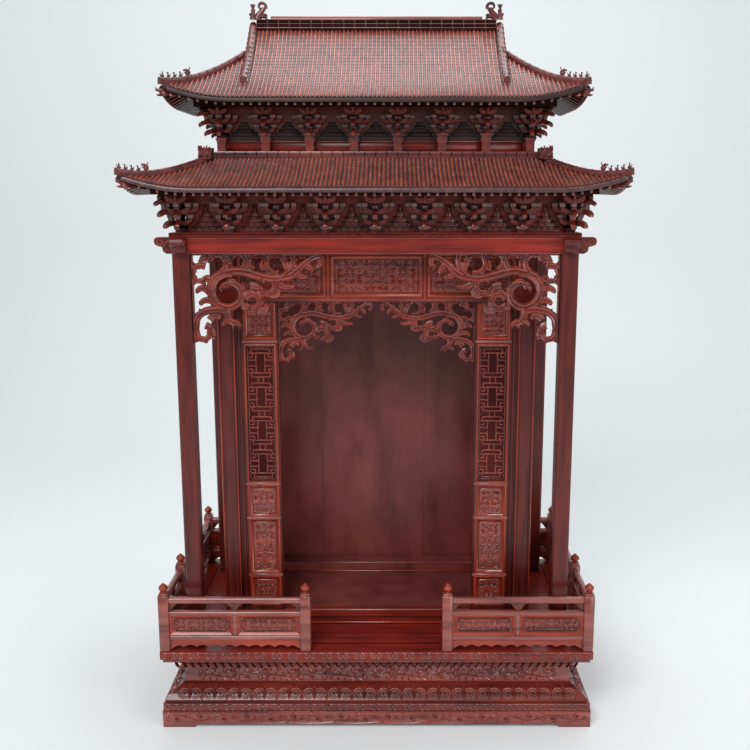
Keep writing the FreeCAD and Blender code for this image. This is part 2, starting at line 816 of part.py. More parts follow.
def build_spandrels():
    shape = spandrel_shape(S.spandrel_length.value, S.spandrel_drop.value, S.spandrel_thickness.value)
    x = (column_x - S.column_size / 2).value
    shape.rotate(Vector(0, 0, 0), Vector(0, 0, 1), 180)
    shape.translate(Vector(x, -column_y.value, column_top.value))
    right = feature("SpandrelRight", shape)
    node("front_spandrels", group("FrontSpandrels", [
        right, mirrored("SpandrelLeft", right, Vector(1, 0, 0))]))

    length = opening_half_width - S.inner_spandrel_gap
    shape = spandrel_shape(length.value, S.inner_spandrel_drop.value, S.inner_spandrel_thickness.value)
    shape.rotate(Vector(0, 0, 0), Vector(0, 0, 1), 180)
    shape.translate(Vector(opening_half_width.value, -body_front.value + S.leaf_thickness.value / 2,
                           opening_top.value))
    right = feature("InnerSpandrelRight", shape)
    node("inner_spandrels", group("InnerSpandrels", [
        right, mirrored("InnerSpandrelLeft", right, Vector(1, 0, 0))]))


# Roofs

TURNS = {"front": 0, "right": 90, "rear": 180, "left": 270}


class Roof:
    """A hipped roof whose slopes sag towards the eaves and lift at the tips."""

    def __init__(self, half_x, half_y, eave, rise, run):
        self.half_x = half_x.value
        self.half_y = half_y.value
        self.eave = eave.value
        self.rise = rise.value
        self.run = run
        self.thickness = S.roof_thickness.value
        self.hip = S.hip_width.value / 2 * math.sqrt(2)
        self.margin = 6
        self.stations = (0.2, 0.5, 1)
        self.steps = 5

    def level(self, inward, to_tip):
        """Height of the tiles this far in from the eave and this far along it from the tip."""
        share = inward / self.run
        sag = S.roof_sag.value
        lift = S.eave_lift.value * max(0, 1 - to_tip / S.eave_lift_length.value) ** 2
        return self.eave + self.rise * ((1 - sag) * share + sag * share * share) + lift * (1 - share)

    def slope(self, along_half, reach, low, high, side):
        """One side of the roof between two heights over its tiles, run a little past the eave.

        Its sections are ruled from station to station along the eave.
        """
        tips = [along_half + self.margin]
        tips += [along_half - S.eave_lift_length.value * share for share in self.stations]
        alongs = [-along for along in tips] + list(reversed(tips))
        sections = [self.section(along, along_half - abs(along), reach, low, high) for along in alongs]
        solid = Part.makeLoft(sections, True, True)
        offset = self.half_y if side in ("front", "rear") else self.half_x
        solid.translate(Vector(0, -offset, 0))
        solid.rotate(Vector(0, 0, 0), Vector(0, 0, 1), TURNS[side])
        return solid

    def section(self, along, to_tip, reach, low, high):
        """A section up the slope, in straight runs above and below."""
        inwards = [-self.margin + (reach + self.margin) * i / self.steps for i in range(self.steps + 1)]
        levels = [self.level(inward, to_tip) for inward in inwards]
        under = [Vector(along, inward, level + low) for inward, level in zip(inwards, levels)]
        over = [Vector(along, inward, level + high) for inward, level in zip(inwards, levels)]
        return Part.makePolygon(under + over[::-1] + under[:1])

    def hip_piece(self, reach, ridge_height):
        """The corner beam and hip ridge in one, on the diagonal from the right front tip.

        A row of small beasts stands on its outer end, and the beam below ends in a raised head.
        """
        width = S.hip_width.value
        end = reach * math.sqrt(2)

        def level(along):
            return self.level(along / math.sqrt(2), along / math.sqrt(2))

        pitch, tall = S.beast_pitch.value, S.beast_height.value
        top = [(width / 2, level(width / 2) + ridge_height)]
        for i in range(5):
            middle = width / 2 + pitch * (i + 0.6)
            high = tall * (1.35 if i == 4 else 1)
            for offset, share in ((-0.3, 0), (-0.05, 1), (0.3, 0)):
                along = middle + pitch * offset
                top.append((along, level(along) + ridge_height + high * share))
        crest_start = top[-1][0]
        for i in range(1, 4):
            along = crest_start + (end - crest_start) * i / 3
            top.append((along, level(along) + ridge_height))
        beam = self.thickness + S.hip_beam_depth.value
        bottom = [(width / 2, level(width / 2) - self.thickness * 0.6),
                  (width / 2, level(width / 2) - beam * 1.35), (width * 1.6, level(width * 1.6) - beam * 1.5)]
        for i in range(1, 5):
            along = width * 1.6 + (end - width * 1.6) * i / 4
            bottom.append((along, level(along) - beam))
        solid = prism([(along, -width / 2, z) for along, z in top + bottom[::-1]], (0, width, 0))
        solid.rotate(Vector(0, 0, 0), Vector(0, 0, 1), 135)
        solid.translate(Vector(self.half_x, -self.half_y, 0))
        return solid


def four_corners(shape):
    """The same piece at the right front corner and its three mirror images."""
    right_rear = shape.mirror(Vector(0, 0, 0), Vector(0, 1, 0))
    return [shape, right_rear] + [item.mirror(Vector(0, 0, 0), Vector(1, 0, 0)) for item in (shape, right_rear)]


def shaped_ring(half_x, half_y, wall, low, high):
    outer = Part.makeBox(2 * half_x, 2 * half_y, high - low, Vector(-half_x, -half_y, low))
    inner_x, inner_y = half_x - wall, half_y - wall
    inner = Part.makeBox(2 * inner_x, 2 * inner_y, high - low, Vector(-inner_x, -inner_y, low))
    return outer.cut(inner)


def slope_nodes(storey, slopes):
    for side in ("front", "rear"):
        node(f"{storey}_roof_{side}", feature(f"{storey.title()}Roof{side.title()}", slopes[side]))
    ends = Part.makeCompound([slopes["left"], slopes["right"]])
    node(storey + "_roof_ends", feature(storey.title() + "RoofEnds", ends))


def build_lower_roof():
    set_top = plate_top + lower_set_height
    roof = Roof(column_x + S.lower_eave_overhang, column_y + S.lower_eave_overhang,
                set_top + S.lower_eave_over_set, S.lower_rise,
                (S.lower_eave_overhang + S.upper_setback).value)
    reach = roof.run
    low, high = roof.eave - 40, roof.eave + roof.rise + 60
    half_x, half_y, hip = roof.half_x, roof.half_y, roof.hip
    slopes, tools = {}, []
    for side, turn in TURNS.items():
        along, deep = (half_x, half_y) if side in ("front", "rear") else (half_y, half_x)
        outline = plan_prism([(hip - along, -deep), (along - hip, -deep),
                              (along - hip - reach, reach - deep), (hip + reach - along, reach - deep)], low, high)
        cover = plan_prism([(-along - 5, -deep - 5), (along + 5, -deep - 5),
                            (along - reach, reach - deep), (reach - along, reach - deep)], low, high + 60)
        for shape in (outline, cover):
            shape.rotate(Vector(0, 0, 0), Vector(0, 0, 1), turn)
        slopes[side] = roof.slope(along, reach, -roof.thickness, 0, side).common(outline)
        tools.append(roof.slope(along, reach, -roof.thickness, 120, side).common(cover))
    slope_nodes("lower", slopes)

    wall_x, wall_y = upper_half_width.value, upper_half_depth.value
    wall = Part.makeBox(2 * wall_x, 2 * wall_y, high, Vector(-wall_x, -wall_y, 0))
    hips = [hip_piece.cut(wall) for hip_piece in
            four_corners(roof.hip_piece(reach + 8, S.hip_height.value))]
    node("lower_hip_ridges", feature("LowerHipRidges", Part.makeCompound(hips)))

    purlin_x = column_x.value + S.arm_step.value * 2
    purlin_y = column_y.value + S.arm_step.value * 2
    purlin = shaped_ring(purlin_x + S.purlin_width.value / 2, purlin_y + S.purlin_width.value / 2,
                         S.purlin_width.value, set_top.value, high)
    purlin = purlin.cut(tools).cut(hips)
    node("lower_purlin", feature("LowerPurlin", purlin))

    setback = S.seat_width.value / 2
    frieze = shaped_ring(column_x.value - setback, column_y.value - setback,
                         S.frieze_thickness.value, plate_top.value, high).cut(tools).cut(hips)
    node("lower_frieze", feature("LowerFrieze", frieze))

    band_half_x = wall_x + S.ridge_band_width.value
    band_half_y = wall_y + S.ridge_band_width.value
    band_low = roof.level(reach - S.ridge_band_width.value, half_x)
    band = shaped_ring(band_half_x, band_half_y, S.ridge_band_width.value, band_low - 2,
                       band_low + S.ridge_band_height.value)
    block_size = S.corner_block_size.value
    block_low = band_low - 8
    corner = Part.makeBox(block_size, block_size, S.ridge_band_height.value + S.corner_block_height.value - 6,
                          Vector(band_half_x - 6, -band_half_y + 6 - block_size, block_low))
    body_cutters = list(slopes.values()) + hips
    corners = [piece.cut(body_cutters + [wall]) for piece in four_corners(corner)]
    corners = [max(piece.Solids, key=lambda solid: solid.Volume) for piece in corners]
    node("ridge_corner_blocks", feature("RidgeCornerBlocks", Part.makeCompound(corners)))
    node("ridge_band", feature("RidgeBand", band.cut(body_cutters + corners)))
    return band_low + S.ridge_band_height.value


def build_upper_roof(band_top):
    eave_y = upper_half_depth + S.upper_eave_overhang
    half_run = eave_y.value
    set_top = band_top + upper_set_height.value
    roof = Roof(upper_half_width + S.upper_eave_overhang, eave_y, set_top + S.upper_eave_over_set,
                S.upper_rise, half_run)
    half_x, half_y, hip = roof.half_x, roof.half_y, roof.hip
    gable = gable_half_width.value
    side_reach = half_x - gable
    low, high = roof.eave - 40, roof.eave + roof.rise + 60
    gable_face = gable - S.verge_overhang.value

    end_reach = side_reach + S.verge_overhang.value
    slopes, tools, main_tools = {}, [], []
    for side, turn in (("front", 0), ("rear", 180)):
        outline = plan_prism([(hip - half_x, -half_y), (half_x - hip, -half_y),
                              (gable, side_reach - half_y - hip), (gable, 0), (-gable, 0),
                              (-gable, side_reach - half_y - hip)], low, high)
        cover = plan_prism([(-half_x - 5, -half_y - 5), (half_x + 5, -half_y - 5),
                            (gable, side_reach - half_y), (gable, 0), (-gable, 0),
                            (-gable, side_reach - half_y)], low, high + 60)
        for shape in (outline, cover):
            shape.rotate(Vector(0, 0, 0), Vector(0, 0, 1), turn)
        slopes[side] = roof.slope(half_x, half_run, -roof.thickness, 0, side).common(outline)
        main_tools.append(roof.slope(half_x, half_run, -roof.thickness, 220, side).common(cover))
    tools += main_tools
    inner = half_y - side_reach - S.verge_overhang.value - 1.4 * roof.thickness
    for side, turn in (("right", 90), ("left", 270)):
        outline = plan_prism([(hip - half_y, -half_x), (half_y - hip, -half_x),
                              (half_y - hip - side_reach, -gable), (inner, -gable), (inner, -gable_face),
                              (-inner, -gable_face), (-inner, -gable), (hip + side_reach - half_y, -gable)], low, high)
        cover = plan_prism([(-half_y - 5, -half_x - 5), (half_y + 5, -half_x - 5),
                            (half_y - side_reach, -gable), (side_reach - half_y, -gable)], low, high + 60)
        for shape in (outline, cover):
            shape.rotate(Vector(0, 0, 0), Vector(0, 0, 1), turn)
        slopes[side] = roof.slope(half_y, end_reach, -roof.thickness, 0, side).common(outline)
        tools.append(roof.slope(half_y, end_reach, -roof.thickness, 220, side).common(cover))
    slope_nodes("upper", slopes)

    inside = Part.makeBox(2 * gable, 2 * half_y, high, Vector(-gable, -half_y, 0))
    hips = [piece.cut(inside) for piece in four_corners(roof.hip_piece(side_reach + 8, S.hip_height.value))]
    node("upper_hip_ridges", feature("UpperHipRidges", Part.makeCompound(hips)))

    boards = []
    for side in (-1, 1):
        x = gable_face - S.gable_board.value if side > 0 else -gable_face
        board = Part.makeBox(S.gable_board.value, 2 * half_y, roof.rise, Vector(x, -half_y, 0))
        board.translate(Vector(0, 0, roof.level(side_reach, half_x) - 3 * roof.thickness))
        boards.append(max(board.cut(main_tools).Solids, key=lambda solid: solid.Volume))
    node("gable_boards", feature("GableBoards", Part.makeCompound(boards)))

    base = shaped_ring(upper_half_width.value, upper_half_depth.value, S.upper_base_thickness.value,
                       (column_top + S.ceiling_thickness).value, band_top)
    node("upper_base", feature("UpperBase", base))
    line_x = (upper_half_width - S.upper_set_inset).value
    line_y = (upper_half_depth - S.upper_set_inset).value
    setback = S.upper_seat_width.value / 2
    wall = shaped_ring(line_x - setback, line_y - setback, S.upper_wall_thickness.value,
                       band_top, high).cut(tools).cut(hips)
    node("upper_wall", feature("UpperWall", wall))

    purlin_x = line_x + S.upper_arm_step.value * 2
    purlin_y = line_y + S.upper_arm_step.value * 2
    purlin = shaped_ring(purlin_x + S.purlin_width.value / 2, purlin_y + S.purlin_width.value / 2,
                         S.purlin_width.value, set_top, high).cut(tools).cut(hips)
    node("upper_purlin", feature("UpperPurlin", purlin))

    # ridges that run down the verges, and the main ridge between them
    ridge_top = roof.level(half_run, half_x) + S.main_ridge_height.value
    width, tall = S.gable_ridge_width.value, S.gable_ridge_height.value
    reach = half_y - S.gable_ridge_stop.value
    samples = 6
    crest = [(0, y, roof.level(half_y + y, half_x) + tall)
             for y in (-reach * (1 - i / samples) for i in range(samples + 1))]
    crest += [(0, -y, z) for _, y, z in reversed(crest[:-1])]
    foot = roof.level(half_y - reach, half_x) - roof.thickness / 2
    saddle = prism(crest + [(0, reach, foot), (0, -reach, foot)], (width, 0, 0))
    ridges = []
    for side in (-1, 1):
        piece = saddle.copy()
        piece.translate(Vector(gable - width if side > 0 else -gable, 0, 0))
        piece = piece.cut([slopes["front"], slopes["rear"]])
        top_piece = max(piece.Solids, key=lambda solid: solid.BoundBox.ZMax)
        ridges.append(top_piece)
    node("gable_ridges", feature("GableRidges", Part.makeCompound(ridges)))

    inner_x = gable - width
    main = Part.makeBox(2 * inner_x, S.main_ridge_width.value, S.main_ridge_height.value + 12,
                        Vector(-inner_x, -S.main_ridge_width.value / 2, ridge_top - S.main_ridge_height.value - 12))
    main = main.cut([slopes["front"], slopes["rear"]])
    main = max(main.Solids, key=lambda solid: solid.BoundBox.ZMax)
    radius = S.ridge_cap_radius.value
    cap_half = gable - S.ridge_end_width.value - 4
    round_top = [math.radians(30 * i) for i in range(7)]
    cap = prism([(-cap_half, radius * math.cos(angle), ridge_top + radius * math.sin(angle))
                 for angle in round_top], (2 * cap_half, 0, 0))
    node("main_ridge", feature("MainRidge", main.fuse(cap).removeSplitter()))
    return ridge_top


def build_ridge_ends(ridge_top):
    """A curling fish tail with a flared cup behind it at each end of the main ridge."""
    wide, tall = S.ridge_end_width.value, S.ridge_end_height.value
    thick = S.ridge_end_thickness.value

    outline = ((0.08, 0), (0, 0.28), (0.08, 0.52), (0.16, 0.78), (0.3, 0.95), (0.46, 1), (0.58, 0.9),
               (0.6, 0.74), (0.48, 0.7), (0.58, 0.56), (0.72, 0.62), (0.8, 0.86), (0.98, 0.9),
               (0.95, 0.6), (1, 0.3), (0.96, 0))
    shape = prism([(wide * x, 0, tall * z) for x, z in outline], (0, thick, 0))
    shape.translate(Vector(gable_half_width.value - wide, -thick / 2, ridge_top))
    pair = [shape, shape.mirror(Vector(0, 0, 0), Vector(1, 0, 0))]
    node("ridge_end_scrolls", feature("RidgeEndScrolls", Part.makeCompound(pair)))


# Bracket sets


def bracket_plate(stem, seat_top, tiers, cap, thickness):
    """One upright plate of a bracket set: two stacked arms that flare from the seat."""
    half = [(stem / 2, seat_top)]
    z = seat_top
    for reach, arm, bearing in tiers:
        half += [(reach - arm * 0.85, z), (reach, z + arm * 0.7), (reach, z + arm + bearing)]
        z += arm + bearing
    half.append((tiers[-1][0], z + cap))
    del half[-2]
    outline = half + [(-x, level) for x, level in reversed(half)]
    return prism([(x, -thickness / 2, level) for x, level in outline], (0, thickness, 0))


def forward_plate(stem, seat_top, tiers, cap, back, thickness):
    """The stepped plate that carries the purlin, run out over the front of the set."""
    top = seat_top + sum(arm + bearing for _, arm, bearing in tiers) + cap
    outline = [(back, top), (back, seat_top)]
    z = seat_top
    for reach, arm, bearing in tiers:
        outline += [(-(reach - arm * 0.8), z), (-reach - 3, z + arm * 0.55), (-reach, z + arm + bearing)]
        z += arm + bearing
    outline.append((-(tiers[-1][0] + 4), top))
    return prism([(-thickness / 2, y, z) for y, z in outline], (thickness, 0, 0))


def bracket_set(zone):
    """A seat block, two crossing stacks of arms and an outer arm under the purlin."""
    seat, small = zone["seat_width"] / 2, zone["seat_width"] * 0.36
    corners = ((-1, -1), (1, -1), (1, 1), (-1, 1))
    seat_block = planar_loft([[(x * half, y * half, z) for x, y in corners]
                              for half, z in ((small, 0), (seat, zone["seat"]))])
    arm, bearing, step = zone["arm"], zone["bearing"], zone["step"]
    first, second = zone["first"] / 2, zone["second"] / 2
    thickness = S.arm_thickness.value
    wall_plate = bracket_plate(thickness, zone["seat"], [(first, arm, bearing), (second, arm, bearing)],
                               zone["cap"], thickness)
    forward = forward_plate(thickness, zone["seat"], [(step, arm, bearing), (step * 2, arm, bearing)],
                            zone["cap"], thickness / 2, thickness)
    outer_z = zone["seat"] + arm + bearing
    outer = prism([(-first * 0.75, -step - thickness / 2, outer_z), (first * 0.75, -step - thickness / 2, outer_z),
                   (first, -step - thickness / 2, outer_z + arm + bearing),
                   (-first, -step - thickness / 2, outer_z + arm + bearing)], (0, thickness, 0))
    return fused([seat_block, wall_plate, forward, outer])


def bracket_row(zone, count, pitch, offset, turn, level, post=None):
    """A row of like sets along one side, between the corner sets."""
    shape = bracket_set(zone)
    if post:
        width, height = post
        stand = Part.makeBox(width, width * 0.8, height, Vector(-width / 2, -width * 0.4, -height))
        shape = fused([shape, stand])
    row = []
    for i in range(count):
        item = shape.copy()
        item.translate(Vector((i - (count - 1) / 2) * pitch, -offset, level))
        item.rotate(Vector(0, 0, 0), Vector(0, 0, 1), turn)
        row.append(item)
    return row


def corner_set(zone, x, y, level, post=None):
    """A set that faces both ways and carries a diagonal arm to the hip."""
    facing = bracket_set(zone)
    sideways = facing.copy()
    sideways.rotate(Vector(0, 0, 0), Vector(0, 0, 1), 90)
    step = zone["step"] * math.sqrt(2)
    arm, bearing = zone["arm"], zone["bearing"]
    thickness = S.arm_thickness.value
    diagonal = forward_plate(thickness, zone["seat"], [(step, arm, bearing), (step * 2, arm, bearing)],
                             zone["cap"], 0, thickness)
    diagonal.rotate(Vector(0, 0, 0), Vector(0, 0, 1), 45)
    parts = [facing, sideways, diagonal]
    if post:
        width, height = post
        parts.append(Part.makeBox(width, width, height, Vector(-width / 2, -width / 2, -height)))
    shape = fused(parts)
    shape.translate(Vector(x, -y, level))
    return shape


def build_brackets(band_top):
    lower = {"seat": S.seat_height.value, "seat_width": S.seat_width.value, "arm": S.arm_height.value,
             "bearing": S.arm_block_height.value, "first": S.first_arm_length.value,
             "second": S.second_arm_length.value, "step": S.arm_step.value, "cap": S.arm_cap_height.value}
    upper = {"seat": S.upper_seat_height.value, "seat_width": S.upper_seat_width.value,
             "arm": S.upper_arm_height.value, "bearing": S.upper_arm_block_height.value,
             "first": S.upper_first_arm_length.value, "second": S.upper_second_arm_length.value,
             "step": S.upper_arm_step.value, "cap": S.upper_cap_height.value}
    stand = (S.upper_post_width.value, S.upper_post_height.value)
    storeys = (
        ("lower", lower, column_x.value, column_y.value, plate_top.value, None,
         S.front_bays, S.side_bays),
        ("upper", upper, (upper_half_width - S.upper_set_inset).value,
         (upper_half_depth - S.upper_set_inset).value, band_top + stand[1], stand,
         S.upper_front_bays, S.upper_side_bays),
    )
    for storey, zone, line_x, line_y, level, post, front_bays, side_bays in storeys:
        sets = []
        for turn, along, out, bays in (
                (0, line_x, line_y, front_bays), (90, line_y, line_x, side_bays),
                (180, line_x, line_y, front_bays), (270, line_y, line_x, side_bays)):
            count = int(bays.value)
            sets += bracket_row(zone, count - 1, 2 * along / count, out, turn, level, post)
        node(storey + "_brackets", feature(storey.title() + "Brackets", Part.makeCompound(sets)))
        corner = corner_set(zone, line_x, line_y, level, post)
        node(storey + "_corner_brackets",
             feature(storey.title() + "CornerBrackets", Part.makeCompound(four_corners(corner))))


build_plinth()
build_railing()
build_columns()
build_beams()
build_body()
build_spandrels()
band_top = build_lower_roof()
ridge_top = build_upper_roof(band_top)
build_ridge_ends(ridge_top)
build_brackets(band_top)
doc.recompute()

failed = [item.Name for item in doc.Objects if "Invalid" in item.State or "Error" in item.State]
if failed:
    raise RuntimeError("failed objects: " + ", ".join(failed))
for item in nodes:
    if item.Shape.isNull() or not item.Shape.isValid() or not item.Shape.Solids:
        raise RuntimeError("bad shape: " + item.Label)

os.makedirs("parts", exist_ok=True)
for item in nodes:
    item.Shape.exportStep("parts/" + item.Label + ".step")
print(len(nodes), "sub-parts written")
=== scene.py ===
import json
import math
import random
import bmesh
import bpy
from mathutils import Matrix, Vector


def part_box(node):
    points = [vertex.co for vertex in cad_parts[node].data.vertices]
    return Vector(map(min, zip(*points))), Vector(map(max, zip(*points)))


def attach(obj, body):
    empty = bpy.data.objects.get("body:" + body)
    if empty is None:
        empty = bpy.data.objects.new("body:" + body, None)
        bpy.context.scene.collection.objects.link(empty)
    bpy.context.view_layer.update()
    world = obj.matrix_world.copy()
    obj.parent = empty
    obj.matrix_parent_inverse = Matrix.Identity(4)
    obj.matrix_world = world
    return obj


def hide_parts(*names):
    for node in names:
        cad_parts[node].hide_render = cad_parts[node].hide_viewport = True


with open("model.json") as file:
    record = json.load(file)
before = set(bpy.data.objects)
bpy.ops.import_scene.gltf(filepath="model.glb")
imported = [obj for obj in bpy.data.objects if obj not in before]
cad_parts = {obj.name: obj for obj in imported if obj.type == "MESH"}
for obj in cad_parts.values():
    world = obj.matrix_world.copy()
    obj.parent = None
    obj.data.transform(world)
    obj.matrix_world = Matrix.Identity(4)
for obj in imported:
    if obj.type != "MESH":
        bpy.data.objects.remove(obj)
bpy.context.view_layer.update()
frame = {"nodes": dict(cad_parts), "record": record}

# Lengths in this script are millimetres until a mesh is made.
MM = 0.001
BODY = "root"
random.seed(7)


def edges(node):
    """Lowest and highest corner of a solid, in millimetres."""
    low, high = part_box(node)
    return low / MM, high / MM


# Colours and materials


def rgb(code):
    """A linear colour from a plain hex code."""
    values = [int(code[i:i + 2], 16) / 255 for i in (0, 2, 4)]
    return tuple(v / 12.92 if v <= 0.04045 else ((v + 0.055) / 1.055) ** 2.4 for v in values) + (1,)


def add_node(tree, kind, **values):
    """A new shader node with its settings."""
    item = tree.nodes.new(kind)
    for name, value in values.items():
        setattr(item, name, value)
    return item


def ramp(tree, source, stops):
    """A colour ramp over a value."""
    item = add_node(tree, "ShaderNodeValToRGB")
    tree.links.new(source, item.inputs["Fac"])
    elements = item.color_ramp.elements
    while len(elements) < len(stops):
        elements.new(0.5)
    for element, (position, colour) in zip(elements, stops):
        element.position = position
        element.color = colour
    return item.outputs["Color"]


def noise(tree, vector, scale, detail=4, roughness=0.55):
    """A noise value over places."""
    item = add_node(tree, "ShaderNodeTexNoise")
    item.inputs["Scale"].default_value = scale
    item.inputs["Detail"].default_value = detail
    item.inputs["Roughness"].default_value = roughness
    tree.links.new(vector, item.inputs["Vector"])
    return item.outputs["Fac"]


def multiply(tree, first, second):
    """The product of two colours."""
    item = add_node(tree, "ShaderNodeMix", data_type="RGBA", blend_type="MULTIPLY")
    item.inputs[0].default_value = 1.0
    tree.links.new(first, item.inputs[6])
    tree.links.new(second, item.inputs[7])
    return item.outputs[2]


def wood(name, dark, mid, light, grain="z", roughness=0.3, coat=0.5, hollow=0.55, depth=0.012,
         streak=95, shine=0.4):
    """Lacquered rosewood: streaked grain along one axis, painted shade that darkens the hollows, and a clear
    coat.
    """
    material = bpy.data.materials.new(name)
    material.use_nodes = True
    tree = material.node_tree
    shader = tree.nodes["Principled BSDF"]
    place = add_node(tree, "ShaderNodeTexCoord").outputs["Object"]
    stretch = add_node(tree, "ShaderNodeMapping")
    along = {"x": 0, "y": 1, "z": 2}[grain]
    stretch.inputs["Scale"].default_value = [7 if i == along else streak for i in range(3)]
    tree.links.new(place, stretch.inputs["Vector"])
    streaks = noise(tree, stretch.outputs["Vector"], 1.0, 6, 0.6)
    patches = noise(tree, place, 9, 3, 0.5)
    colour = ramp(tree, streaks, [(0.28, rgb(dark)), (0.5, rgb(mid)), (0.75, rgb(light))])
    worn = ramp(tree, patches, [(0.3, (0.8, 0.76, 0.76, 1)), (0.7, (1.14, 1.08, 1.04, 1))])
    colour = multiply(tree, colour, worn)
    # Painted shade: ambient occlusion darkens the colour in hollows, creases and corners; hollow sets how
    # dark it gets, depth how far it reaches.
    shade = add_node(tree, "ShaderNodeAmbientOcclusion", samples=6)
    shade.inputs["Distance"].default_value = depth
    left = 1 - hollow
    painted_hollow_shade = ramp(tree, shade.outputs["AO"], [(0.2, (left, left * 0.85, left * 0.85, 1)), (0.85, (1, 1, 1, 1))])
    tree.links.new(multiply(tree, colour, painted_hollow_shade), shader.inputs["Base Color"])
    gloss = add_node(tree, "ShaderNodeMapRange")
    gloss.inputs["To Min"].default_value = roughness - 0.07
    gloss.inputs["To Max"].default_value = roughness + 0.1
    tree.links.new(patches, gloss.inputs["Value"])
    tree.links.new(gloss.outputs["Result"], shader.inputs["Roughness"])
    shader.inputs["Specular IOR Level"].default_value = shine
    shader.inputs["Coat Weight"].default_value = coat
    shader.inputs["Coat Roughness"].default_value = 0.2
    bump = add_node(tree, "ShaderNodeBump")
    bump.inputs["Strength"].default_value = 0.18
    bump.inputs["Distance"].default_value = 0.0005
    tree.links.new(streaks, bump.inputs["Height"])
    tree.links.new(bump.outputs["Normal"], shader.inputs["Normal"])
    return material


# hollow and depth in these entries set the painted shade in each wood's hollows.
WOOD = {
    "beam": wood("beam_wood", "4c110c", "7c2016", "94291b", "x", coat=0.16, shine=0.3),
    "post": wood("post_wood", "360d0b", "5a1c16", "6e241c", "z", coat=0.18, shine=0.3),
    "side": wood("side_wood", "360d0b", "5a1c16", "6e241c", "y", coat=0.18, shine=0.3),
    "carved": wood("carved_wood", "42110c", "76261b", "923624", "x", hollow=0.72, depth=0.006),
    "gloss": wood("gloss_wood", "42110c", "78281d", "943826", "x", roughness=0.22, hollow=0.7, depth=0.007,
                  coat=0.85, shine=0.6),
    "relief": wood("relief_wood", "521710", "862e22", "a24230", "x", roughness=0.26, hollow=0.5, depth=0.003,
                   coat=0.7, shine=0.5),
    # Painted highlight: edge and edge_up are brighter orange-red woods laid on bevels, beads, ribs, rims and
    # arrises for the light they catch.
    "edge": wood("edge_highlight_wood", "6a1e11", "96331a", "b04424", "x", roughness=0.26, coat=0.35),
    "edge_up": wood("upright_edge_highlight_wood", "6a1e11", "8e2f19", "a63e22", "z", roughness=0.26, coat=0.35),
    "dark": wood("dark_wood", "5c2320", "753834", "80403b", "z", roughness=0.34, coat=0.12, streak=22,
                 hollow=0.35, shine=0.3),
    "shadow": wood("shadow_wood", "150807", "230d0b", "30120f", "x", roughness=0.75, coat=0.0, shine=0.08),
    "stone": wood("worn_wood", "241615", "382624", "4a3632", "x", roughness=0.5, coat=0.15, shine=0.3),
    "bracket": wood("bracket_wood", "3a100c", "682216", "843022", "x", hollow=0.82, depth=0.012, coat=0.3),
    "seat": wood("seat_wood", "4a2c2a", "6c4642", "8a625c", "z", roughness=0.3),
    "tile": wood("tile_wood", "6a2218", "98402c", "b65a42", "y", roughness=0.24, coat=0.7, hollow=0.72,
                 depth=0.005, shine=0.5),
    # Painted shade: pan is a much darker wood that darkens the dished pans between tile rows, where shade
    # falls.
    "pan": wood("pan_wood", "2c1514", "4a2a28", "5e3c38", "y", roughness=0.34),
    "ridge": wood("ridge_wood", "3c1517", "642a27", "84433c", "x", roughness=0.26, coat=0.5, hollow=0.74,
                  depth=0.006),
    "lip": wood("lip_wood", "5c2826", "884640", "a26058", "x", roughness=0.3, coat=0.4),
    "rail": wood("rail_wood", "5c2a28", "8a4b46", "a0625c", "x", roughness=0.28, coat=0.45, hollow=0.45,
                 depth=0.004),
    "eave": wood("eave_wood", "1e0e0f", "301919", "402424", "x", roughness=0.45, coat=0.1, shine=0.25),
}

SLOT_WOOD = {"carved": "carved", "frame": "post", "openwork": "carved", "panel": "dark",
             "bracket": "bracket", "roof": "tile", "ridge": "ridge"}
NODE_WOOD = {
    "long_beams": "beam", "cross_beams": "side", "beam_plate": "beam", "deck": "beam",
    "body_header": "beam", "body_sides": "post", "niche_sill": "beam", "niche_floor": "dark",
    # base_waist takes the paler rail wood: partly its mauve tone, partly painted light that makes up for the
    # shade the deck casts on it.
    "back_step": "dark", "base_foot": "lip", "base_lotus_band": "bracket", "base_waist": "rail",
    "lower_purlin": "shadow", "upper_purlin": "shadow", "lower_frieze": "beam",
    "upper_base": "beam", "upper_wall": "bracket",
}


def dress_solids():
    """Give every solid that still shows its wood."""
    for part in frame["record"]["subparts"]:
        kind = NODE_WOOD.get(part["node"], SLOT_WOOD[part["material_slot"]])
        for slot in frame["nodes"][part["node"]].material_slots:
            slot.material = WOOD[kind]


dress_solids()


# Mesh building


